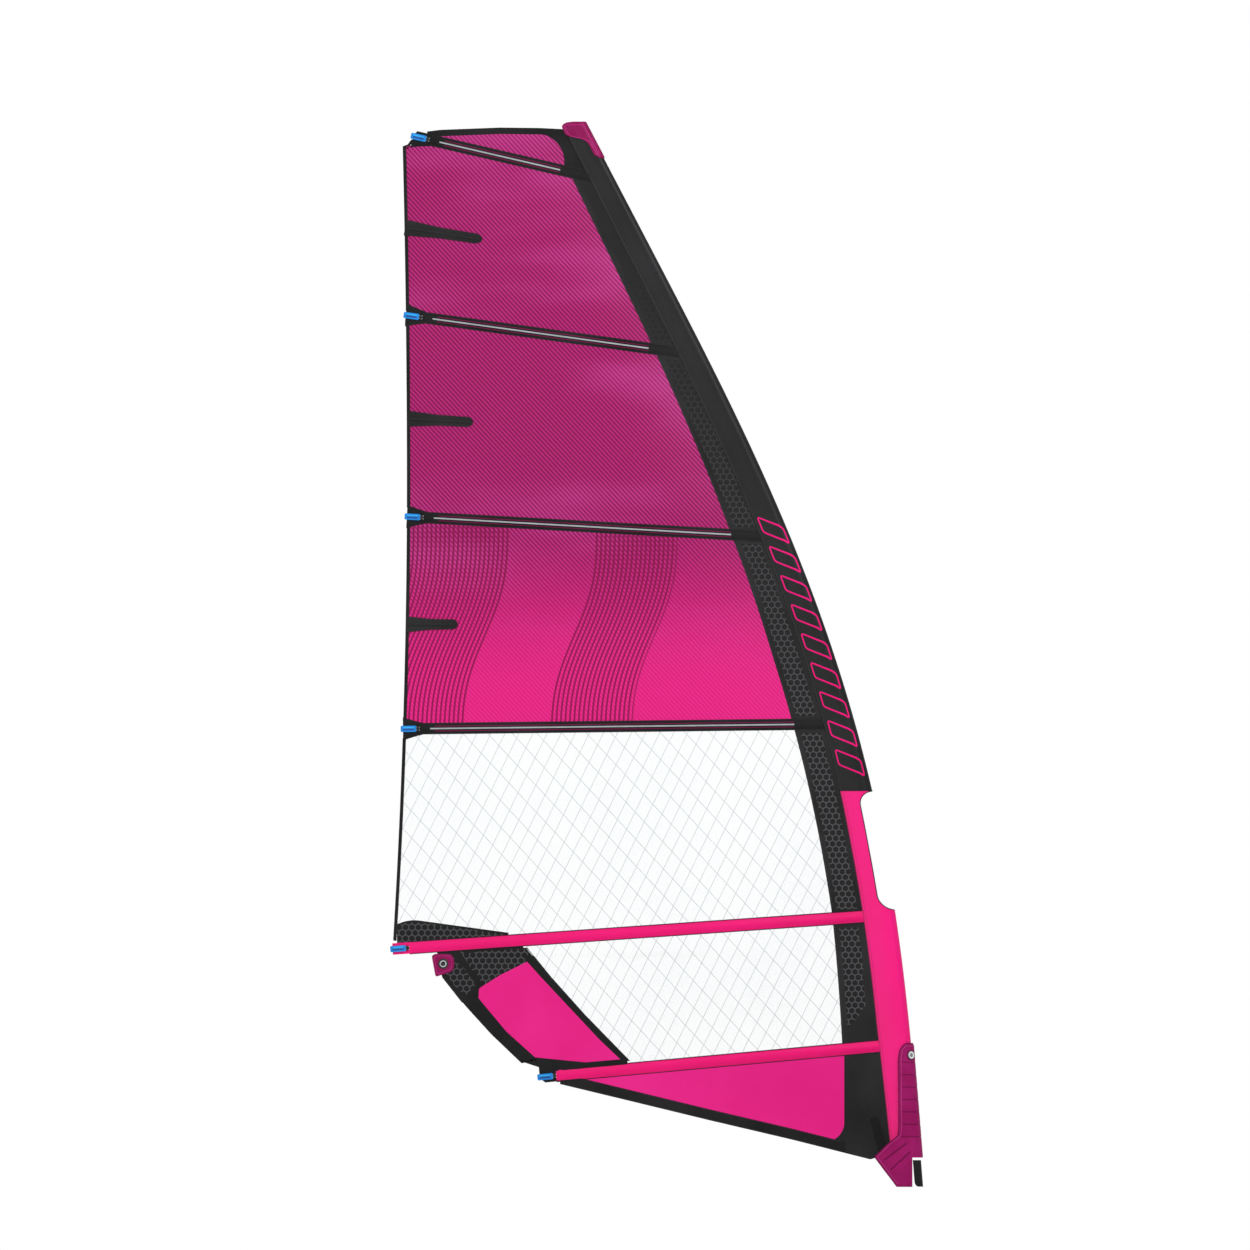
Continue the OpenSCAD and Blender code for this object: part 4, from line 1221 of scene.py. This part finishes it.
def sleevePoint(c, z, grow=0.0):
    # c runs from -2 at the far seam, round the nose, to 2 at the near seam
    c, z = np.broadcast_arrays(np.asarray(c, float), np.asarray(z, float))
    front = luffFront(z) + grow
    r = noseRadius(z) + grow
    tail = sleeve["tail"] + grow
    t = np.abs(c) - 1
    flank = np.clip(t, 0, 1)
    x = np.where(
        t <= 0, front - r + r * np.cos(np.pi / 2 * c), blendTo(front - r, seamX(z), np.maximum(t, 0))
    )
    y = np.where(t <= 0, -r * np.sin(np.pi / 2 * c), -np.sign(c) * (tail + (r - tail) * (1 - flank**1.6)))
    fold = sleeve["wrinkle"] * np.sin(z * 17 + 3 * c) * np.sin(
        z * 5.3 + 1.7 * c
    ) * np.clip(1 - flank, 0.0, 1) * (np.abs(c) > 0.15)
    return np.stack([x, y + np.sign(-c) * fold * np.minimum(np.abs(c), 1), z + 0 * x], -1)


def sleeveColumn(x, z):
    # the c at which the near flank reaches x
    front, r = luffFront(z), noseRadius(z)
    ahead = np.clip((x - (front - r)) / r, 0, 1)
    return np.where(
        x > front - r, np.arccos(ahead) / (np.pi / 2), 1 + (front - r - x) / (front - r - seamX(z))
    )


def sleeveSheet(cGrid, zGrid):
    return shell(
        sleevePoint(cGrid, zGrid, 0.0), sleevePoint(cGrid, zGrid, -sleeve["wall"])
    ), sleevePoint(cGrid, zGrid, -sleeve["wall"] / 2)


def cutEdge(z):
    # front edge of the cloth that is left beside the boom cut-out
    s = sleeve
    inner = seamX(z) + s["strip"]
    near = np.minimum(z - s["cutLow"], s["cutHigh"] - z)
    bite = s["corner"] - np.sqrt(np.maximum(s["corner"] ** 2 - np.maximum(s["corner"] - near, 0) ** 2, 0))
    return inner + np.where(near < s["corner"], bite, 0) * 1.12


def buildSleeve():
    s, f = sleeve, finishes
    cols = np.linspace(-2, 2, 65)

    def tube(name, low, high, count, finish, node):
        z = np.linspace(high, low, count + 1)
        cGrid, zGrid = np.meshgrid(cols, z)
        mesh, middle = sleeveSheet(cGrid, zGrid)
        obj = makePiece(name, mesh, f[finish], node, crease=55)

    tube("sleeveLower", s["foot"], s["cutLow"], 70, "neonSleeve", "sleeve_lower")
    tube("sleeveUpper", s["cutHigh"] + 0.0005, s["top"], 160, "blackSleeve", "sleeve_upper")
    steps = np.concatenate(
        [
            s["corner"] * (1 - np.cos(np.linspace(0, math.pi / 2, 16))),
            np.linspace(s["corner"], (s["cutHigh"] - s["cutLow"]) / 2, 12)[1:]
        ]
    )
    z = np.concatenate([s["cutLow"] + steps, (s["cutHigh"] - steps)[::-1][1:]])[::-1]
    first = np.minimum(sleeveColumn(cutEdge(z), z), 1.999)
    first[0] = first[-1] = 0.02
    t = np.linspace(0, 1, 25)
    cGrid = first[:, None] * (1 - t) + 2.0 * t
    zGrid = z[:, None] + 0 * t
    for side, word in ((1, "near"), (-1, "far")):
        mesh, middle = sleeveSheet(side * cGrid, zGrid)
        obj = makePiece(
            "sleeveBesideBoom_" + word, mesh, f["neonSleeve"], "sleeve_cutout_sides",
            crease=55
        )
        declareSheet(middle)
    # binding round the cut-out
    edge = sleevePoint(first, z, -s["wall"] / 2)
    other = sleevePoint(-first, z, -s["wall"] / 2)
    loop = np.vstack([edge[1:-1], other[::-1][1:-1]])
    makePiece("cutoutBinding", sweep(loop, s["binding"], 8, True), f["blackSleeve"])
    # black hem where the two colours meet above the cut-out
    c = np.linspace(-1.98, 1.98, 80)
    makePiece(
        "sleeveHem", sweep(sleevePoint(c, s["cutHigh"] + 0.002, 0.0), 0.0020, 6), f["blackSleeve"],
    )
    seams = (
        ("Lower", s["foot"] + 0.004, s["cutHigh"] - 0.002, "pinkThread", "neon_sleeve"),
        ("Upper", s["cutHigh"] + 0.004, s["top"] - 0.02, "blackThread", "black_sleeve"),
    )
    for word, low, high, finish, slotName in seams:
        z = np.linspace(low, high, 150)
        cords = [sweep(sleevePoint(side * 1.985, z, 0.0), 0.0030, 8, False, 0.5) for side in (1, -1)]
        cords += [sweep(sleevePoint(side * 1.90, z, -0.0001), 0.0009, 6, False, 0.6) for side in (1, -1)]
        makePiece("sleeveSeam" + word, cords, f[finish])
    makePiece(
        "sleeveFootHem", sweep(sleevePoint(c, s["foot"] + 0.002, -s["wall"] / 2), 0.0018, 6),
        f["neonSleeve"]
    )


def buildSleeveMarks():
    # plain slanted bars as trim on the black sleeve, on both sides
    marks = {"low": 1.63, "high": 2.77, "count": 9, "width": 0.0075, "reach": (0.70, 1.80)}
    parts = []
    span = (marks["high"] - marks["low"]) / marks["count"]
    for side in (1, -1):
        for k in range(marks["count"]):
            z0 = marks["low"] + k * span
            c0, c1 = marks["reach"]
            path = np.array(
                [(c0, z0), (c1, z0 + span * 0.40), (c1, z0 + span * 0.92), (c0, z0 + span * 0.52)]
            )
            scale = np.array([float(sleeveWidth(z0)) * 0.55, 1.0])
            loop = evenLoop(roundedOutline(path * scale, 0.010, 5), 90) / scale
            points = sleevePoint(side * loop[:, 0], loop[:, 1], 0.0002)
            parts.append(sweep(points, marks["width"] / 2, 6, True, 0.25, (0, -side, 0)))
    makePiece("sleeveTrim", parts, finishes["pinkPrint"])


buildSleeve()
buildSleeveMarks()
print("sleeve done")

# mast pad, in two halves
pad = {
    "inner": 0.0386,
    "thick": 0.0080,
    "top": 0.466,
    "bottom": -0.161,
    "flareTop": -0.033,
    "ribHeights": (0.058, 0.112, 0.166, 0.220, 0.274, 0.328, 0.382),
    "cols": 46,
    "ribDepth": 0.0012,
    "rear": (
        [-0.161, -0.135, -0.100, -0.060, -0.036, -0.030, 0.025,
         0.062, 0.100, 0.396, 0.436, 0.456, 0.463, 0.466],
        [-0.062, -0.081, -0.108, -0.138, -0.156, -0.160, -0.104,
         -0.058, -0.054, -0.056, -0.050, -0.036, -0.027, -0.014],
    ),
    "bootRibs": (((-0.020, 0.030), (-0.118, -0.045)), ((-0.006, -0.010), (-0.088, -0.085))),
}
quarter = pad["inner"] * math.pi / 2


def noseLine(z):
    return outline["footFront"] - outline["noseLow"] - outline["rakeFoot"] * z


def padPoint(s, z, grow, side):
    r = pad["inner"] + grow
    a = s / pad["inner"]
    x = np.where(s < quarter, noseLine(z) + r * np.cos(a), noseLine(z) - (s - quarter))
    y = np.where(s < quarter, r * np.sin(a), r)
    return np.stack([x, side * y, z + 0 * x], -1)


def padLimits(z):
    first = np.where(z < pad["flareTop"], quarter + noseLine(z) - 0.006, 0.0006)
    return first, quarter + noseLine(z) - np.interp(z, *pad["rear"])


def padFace(t, z, side):
    # t from 0 at the front to 1 at the rear edge
    s0, s1 = padLimits(z)
    s = blendTo(s0, s1, t)
    sides = np.minimum(s1 - s, np.where(z < pad["flareTop"], s - s0, 1.0))
    edge = np.minimum(sides, np.minimum(pad["top"] - z, z - pad["bottom"]))
    crown = np.clip(edge / 0.012, 0, 1) ** 0.5
    rib = 0.0
    for height in pad["ribHeights"]:
        rib = rib + np.exp(-(((z - height) / 0.0032) ** 2))
    bead = np.exp(-(((edge - 0.013) / 0.0018) ** 2))
    inside = np.clip((edge - 0.017) / 0.004, 0, 1)
    grow = pad["thick"] * (0.35 + 0.65 * crown) - pad["ribDepth"] * rib * inside + 0.0010 * bead - 0.0007
    return padPoint(s, z, grow, side), s


def buildPadHalf(name, side, body, node):
    rim = pad["top"] - 0.03
    z = np.concatenate([
        np.linspace(pad["top"], rim, 24),
        np.linspace(rim, 0.0, 130)[1:],
        np.linspace(0.0, pad["flareTop"] + 0.0001, 14)[1:],
        np.linspace(pad["flareTop"] - 0.0001, pad["bottom"], 44),
    ])
    tGrid, zGrid = np.meshgrid(np.linspace(0, 1, pad["cols"]), z)
    outer, s = padFace(tGrid, zGrid, side)
    inner = padPoint(s, zGrid, 0.0, side)
    obj = makePiece(name, shell(outer, inner), finishes["foam"], node, body, crease=60)
    return obj


def padEdgeLine(inset, side, grow):
    # a line that follows the outline of the pad at a distance from its edge
    zs = np.linspace(pad["bottom"] + inset, pad["top"] - inset, 160)
    s0, s1 = padLimits(zs)
    rear = padPoint(s1 - inset, zs, grow, side)
    top = pad["top"] - inset
    a0, a1 = padLimits(top)
    span = np.linspace(float(a1) - inset, float(a0) + 0.008, 14)[1:]
    return np.vstack([rear, padPoint(span, top + 0 * span, grow, side)])


def buildPad():
    halves = {-1: ("padNearFlap", "pad_flap", "pad_near_flap"), 1: ("padFarSide", "root", "pad_far_side")}
    for side, (name, body, node) in halves.items():
        buildPadHalf(name, side, body, node)
        line = padEdgeLine(0.013, side, pad["thick"] + 0.0006)
        makePiece(name + "Bead", sweep(line, 0.0012, 8), finishes["foamBead"], (), body)
        rim = padEdgeLine(0.0015, side, pad["thick"] * 0.42)
        makePiece(name + "Piping", sweep(rim, 0.0022, 8), finishes["foamDark"], (), body)
        # dark grooves across the pad and two diagonal ribs on the boot flare
        parts = []
        for height in pad["ribHeights"]:
            s0, s1 = padLimits(height)
            span = np.linspace(float(s0) + 0.010, float(s1) - 0.016, 30)
            parts.append(sweep(padPoint(span, height + 0 * span, pad["thick"] - 0.0010, side), 0.0011, 6))
        for (xa, za), (xb, zb) in pad["bootRibs"]:
            t = np.linspace(0, 1, 30)
            x, zz = blendTo(xa, xb, t), blendTo(za, zb, t)
            s = quarter + noseLine(zz) - x
            parts.append(sweep(padPoint(s, zz, pad["thick"] - 0.0006, side), 0.0026, 8, False, 0.7))
        makePiece(name + "Ribs", parts, finishes["foamDark"], (), body)


def buildApron():
    a = {"low": -0.160, "high": -0.044, "radius": 0.036, "thick": 0.0026, "corner": 0.022}
    z = np.linspace(a["high"], a["low"], 40)
    turn = np.linspace(-1, 1, 49)
    drop = np.clip((a["low"] + a["corner"] - z) / a["corner"], 0, 1)
    reach = (np.pi / 2) * (1 - 0.30 * (1 - np.sqrt(np.maximum(1 - drop**2, 0))))
    angle = reach[:, None] * turn[None]
    zGrid = z[:, None] + 0 * angle
    lean = noseLine(zGrid)

    def skin(r):
        return np.stack([lean + r * np.cos(angle), r * np.sin(angle), zGrid], -1)

    obj = makePiece(
        "footApron", shell(skin(a["radius"]), skin(a["radius"] - a["thick"])), finishes["webbing"],
        "foot_apron", crease=50
    )
    declareSheet(skin(a["radius"] - a["thick"] / 2))


buildPad()
buildApron()
print("pad done")

# tack webbing: a loop through the pulley's bail
webbing = {
    "pulley": (-0.108, -0.060), "lean": math.radians(15), "bail": 0.038, "width": 0.030, "inner": 0.0040,
    "outer": 0.0055, "tail": 0.170
}


def buildWebbing():
    w = webbing
    profile = []
    middle = (w["inner"] + w["outer"]) / 2
    up = np.linspace(w["tail"], 0, 40)
    profile += [(middle, h) for h in up]
    profile += [(middle * math.cos(a), -middle * math.sin(a)) for a in np.linspace(0, math.pi, 18)[1:-1]]
    profile += [(-middle, h) for h in up[::-1]]
    profile = np.array(profile)
    tangent = np.gradient(profile, axis=0)
    tangent /= np.linalg.norm(tangent, axis=1)[:, None]
    normal = np.stack([tangent[:, 1], -tangent[:, 0]], -1)
    half = (w["outer"] - w["inner"]) / 2
    across = np.linspace(-w["width"] / 2, w["width"] / 2, 13)
    ribs = 0.00012 * np.cos(np.linspace(0, 2 * math.pi * 6, 13))

    def skin(sign):
        grid = np.zeros((len(across), len(profile), 3))
        for j, c in enumerate(across):
            pts = profile + sign * (half + ribs[j]) * normal
            local = np.stack([0 * pts[:, 0] + c, pts[:, 0], w["bail"] + pts[:, 1]], -1)
            x = local[:, 0] * math.cos(w["lean"]) - local[:, 2] * math.sin(w["lean"])
            z = local[:, 0] * math.sin(w["lean"]) + local[:, 2] * math.cos(w["lean"])
            grid[j] = np.stack([w["pulley"][0] + x, local[:, 1], w["pulley"][1] + z], -1)
        return grid

    obj = makePiece(
        "tackWebbing", shell(skin(1), skin(-1)), finishes["webbing"], "tack_webbing",
        crease=50
    )


buildWebbing()

# head cap
headCap = {
    "gap": 0.0018,
    "wall": 0.0040,
    "top": 4.484,
    "elbow": 4.414,
    "low": 4.325,
    "armReach": 2.12,
    "downReach": 1.12,
    "bead": 0.0016,
}


def capReach(z):
    # how far aft the cap reaches at a height, with rounded ends and a rounded elbow
    h = headCap
    arm = np.where(
        z > h["elbow"] + 0.018, 1.0, np.sqrt(np.clip(1 - ((h["elbow"] + 0.018 - z) / 0.018) ** 2, 0, 1))
    )
    armTop = np.sqrt(np.clip(1 - (np.maximum(z - (h["top"] - 0.030), 0) / 0.030) ** 2, 0, 1))
    fillet = np.clip((z - (h["elbow"] - 0.030)) / 0.030, 0, 1) ** 2.2
    foot = np.sqrt(np.clip(1 - (np.maximum(h["low"] + 0.020 - z, 0) / 0.020) ** 2, 0, 1))
    down = 0.60 + (h["downReach"] - 0.60) * foot
    upper = h["downReach"] + 0.45 + (h["armReach"] - h["downReach"] - 0.45) * arm - 0.80 * (1 - armTop)
    return np.where(z >= h["elbow"], upper, down + 0.45 * fillet)


def buildHeadCap():
    h = headCap
    rim = 0.02
    z = np.unique(np.concatenate([
        np.linspace(h["low"], h["low"] + rim, 10),
        np.linspace(h["low"] + rim, h["elbow"], 26),
        np.linspace(h["elbow"], h["elbow"] + rim, 10),
        np.linspace(h["elbow"] + rim, h["top"], 20),
    ]))[::-1]
    reach = capReach(z)
    q = np.linspace(-1, 1, 61)
    cGrid = reach[:, None] * q[None]
    zGrid = z[:, None] + 0 * cGrid
    edge = np.minimum(
        1,
        np.minimum(
            (1 - np.abs(q))[None] * reach[:, None] / 0.12,
            np.minimum(h["top"] - zGrid, zGrid - h["low"]) / 0.006
        )
    )
    swell = 0.55 + 0.45 * np.sqrt(np.clip(edge, 0, 1))
    outer = sleevePoint(cGrid, zGrid, h["gap"])
    deep = sleevePoint(cGrid, zGrid, h["gap"] + h["wall"])
    outerSkin = outer + (deep - outer) * swell[..., None]
    makePiece(
        "headCap", shell(outerSkin, outer), finishes["magentaPlastic"], "head_cap",
        crease=50
    )
    # raised line that follows the cap's outline on each side, and a ridge down its front
    parts, ridges = [], []
    for side in (1, -1):
        zs = np.linspace(h["low"] + 0.014, h["top"] - 0.014, 70)
        inset = np.maximum(capReach(zs) - 0.16, 0.5)
        path = sleevePoint(side * inset, zs, h["gap"] + h["wall"])
        back = np.linspace(inset[-1], 0.75, 12)[1:]
        path = np.vstack([path, sleevePoint(side * back, zs[-1] + 0 * back, h["gap"] + h["wall"])])
        down = np.linspace(zs[-1], zs[0], 50)[1:]
        path = np.vstack([path, sleevePoint(side * 0.75 + 0 * down, down, h["gap"] + h["wall"])])
        parts.append(sweep(path, h["bead"], 8))
        for zz in np.linspace(h["low"] + 0.022, h["elbow"] - 0.004, 9):
            c = np.linspace(0.52, 0.66, 7)
            ridges.append(sweep(sleevePoint(side * c, zz + 0 * c, h["gap"] + h["wall"]), 0.0016, 6))
    makePiece("headCapBead", parts, finishes["magentaLight"])
    makePiece("headCapRidges", ridges, finishes["magentaLight"])


buildHeadCap()
print("webbing and head cap done")

# painted shade and painted highlight strips on the tensioner caps, and the eyelet
capTrim = {"front": 0.0480, "rear": 0.0, "face": 0.0085, "paintedShadeWidth": 0.0042, "light": 0.0030}


def buildCapTrim():
    paintedShadeStrips, lights = [], []
    for line in lines:
        for side in (-1, 1):
            r = np.linspace(capTrim["rear"], capTrim["front"], 14)
            # the lower, darker strip is painted shade on each cap's lower half; the upper, lighter strip is
            # a painted highlight on its top half
            for v, width, proud, group in (
                (-0.0030, capTrim["paintedShadeWidth"], 0.0001, paintedShadeStrips), (0.0056, capTrim["light"], 0.0002, lights)
            ):
                x, z = line.point(r, v)
                path = np.stack([x, 0 * x + side * (capTrim["face"] + proud), z], -1)
                group.append(sweep(path, width, 10, False, 0.14))
    makePiece("capPaintedShade", paintedShadeStrips, finishes["bluePaintedShade"], crease=60)
    makePiece("capPaintedHighlight", lights, finishes["bluePaintedHighlight"], crease=60)


eyelet = {
    "turn": math.radians(-50),
    "height": 0.410,
    "standOff": 0.0472,
    "ringRadius": 0.0182,
    "ringCord": 0.0022,
    "boreRadius": 0.0089,
    "boreFaces": (-0.0030, 0.0002),
}


def buildEyeletRing():
    turn, lean = eyelet["turn"], math.atan(outline["rakeFoot"])
    out = np.array([math.cos(lean) * math.cos(turn), math.cos(lean) * math.sin(turn), math.sin(lean)])
    side = np.cross(out, (0, 0, 1.0))
    side /= np.linalg.norm(side)
    up = np.cross(side, out)
    height = eyelet["height"]
    centre = np.array([float(noseLine(height)), 0, height]) + out * eyelet["standOff"]
    a = np.linspace(0, 2 * math.pi, 49)[:-1]
    circle = np.cos(a)[:, None] * side + np.sin(a)[:, None] * up
    loop = centre + eyelet["ringRadius"] * circle
    discs = [centre + out * lift + eyelet["boreRadius"] * circle for lift in eyelet["boreFaces"]]
    makePiece("eyeletBore", loft(discs), finishes["greyPlastic"], (), "pad_flap")
    makePiece(
        "eyeletRing", sweep(loop, eyelet["ringCord"], 8, True, 1.0, out), finishes["blackPlastic"],
        (), "pad_flap"
    )


buildCapTrim()
buildEyeletRing()

# stitches
stitching = {
    "pitch": 0.0075,
    "length": 0.0045,
    "radius": 0.00045,
    "sunk": 0.0002,
    "faces": ((0, 1, 4, 3), (1, 2, 5, 4), (2, 0, 3, 5), (0, 2, 1), (3, 4, 5)),  # three sides, two ends
}


def stitchRow(points, lift):
    # short threads along a line of (x, z), on the near and the far side
    p = stitching
    points = np.asarray(points, float)
    steps = runLength(points)
    starts = np.arange(0, steps[-1] - p["length"], p["pitch"])
    verts, faces = [], []
    for side in (-1, 1):
        a = np.stack([np.interp(starts, steps, points[:, k]) for k in (0, 1)], -1)
        b = np.stack([np.interp(starts + p["length"], steps, points[:, k]) for k in (0, 1)], -1)
        d = (b - a) / np.linalg.norm(b - a, axis=1)[:, None]
        n = np.stack([-d[:, 1], d[:, 0]], -1) * p["radius"]
        for k in range(len(a)):
            base = len(verts)
            for q in (a[k], b[k]):
                y = float(sailY(q[0], q[1]))
                low, high = y + side * (lift - p["sunk"]), y + side * (lift + 2 * p["radius"])
                verts.append((q[0] + n[k, 0], low, q[1] + n[k, 1]))
                verts.append((q[0], high, q[1]))
                verts.append((q[0] - n[k, 0], low, q[1] - n[k, 1]))
            faces += [tuple(base + i for i in face) for face in stitching["faces"]]
    return np.array(verts), faces


def buildStitches():
    dark, pale, pink = [], [], []
    for i in range(6):
        line = lines[i]
        for side in (1, -1):
            for inset in (0.003, 0.006):
                edge = line.halfWidth(battens["flareLength"], side) - inset
                r = np.linspace(line.frontR(side * edge) - 0.004, battens["pocketStart"] + 0.01, 80)
                row = np.stack(line.point(r, side * edge), -1)
                (pale if i < 4 else pink).append(stitchRow(row, pockets["wing"] / 2))
    for b in range(1, 6):
        z = np.linspace(battens["luffHeights"][b - 1] - 0.04, battens["luffHeights"][b] + 0.04, 50)
        for inset in (0.003, 0.007):
            pale.append(stitchRow(np.stack([stripX(z) + inset, z], -1), panels["strip"] / 2))
            pale.append(stitchRow(np.stack([seamX(z) - inset, z], -1), panels["strip"] / 2))
    for b in range(1, 5):
        z = np.linspace(battens["leechHeights"][b - 1] - 0.06, battens["leechHeights"][b] + 0.06, 50)
        pale.append(stitchRow(np.stack([rearX(z) + 0.012, z], -1), panels["tape"] / 2))
    # rows that fan out from the pad over the tack cloth
    for zEnd in (0.030, 0.105, 0.180, 0.255, 0.330):
        row = np.linspace(0, 1, 30)
        x = blendTo(-0.150, -0.270, row)
        z = blendTo(0.020 + 0.35 * (zEnd - 0.02), zEnd, row)
        dark.append(stitchRow(np.stack([x, z], -1), panels["strip"] / 2))
    xs = np.linspace(-0.30, -1.50, 60)
    for inset in (0.004, 0.044):
        pale.append(stitchRow(np.stack([xs, footEdge(xs) + inset], -1), panels["tape"] / 2))
    makePiece("paleStitches", pale, finishes["greyThread"], crease=80)
    makePiece("pinkStitches", pink, finishes["pinkThread"], crease=80)
    makePiece("darkStitches", dark, finishes["blackThread"], crease=80)


buildStitches()
print("stitches done")

# finishes and soft edges on the pieces that come from CAD
cadFinishes = {
    "batten_": "carbon",
    "tensioner_screw_": "stainless",
    "tensioner_plug_": "greyPlastic",
    "tensioner_caps": "bluePlastic",
    "tensioner_collars": "blackPlastic",
    "mini_battens": "paleBatten",
    "clew_ring": "stainless",
    "pad_eyelet": "whitePlastic",
    "pulley_frame": "blackPlastic",
    "pulley_axle": "stainless",
    "pulley_sheave_": "whitePlastic",
    "head_plug": "palePlastic",
}
softEdges = {
    "tensioner_caps": 0.0042, "tensioner_collars": 0.0016, "pulley_frame": 0.0008, "head_plug": 0.0010,
    "pad_eyelet": 0.0005, "clew_ring": 0.0004
}
for nodeName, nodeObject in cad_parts.items():
    for start, finish in cadFinishes.items():
        if nodeName.startswith(start) and not nodeObject.hide_render:
            if not nodeObject.material_slots:
                nodeObject.data.materials.append(finishes[finish])
            for finishSlot in nodeObject.material_slots:
                finishSlot.link = "OBJECT"
                finishSlot.material = finishes[finish]
    if nodeName in softEdges:
        edge = nodeObject.modifiers.new("softEdge", "BEVEL")
        edge.width = softEdges[nodeName]
        edge.segments = 4
        edge.limit_method = "ANGLE"
        edge.angle_limit = math.radians(35)
print("CAD pieces finished")
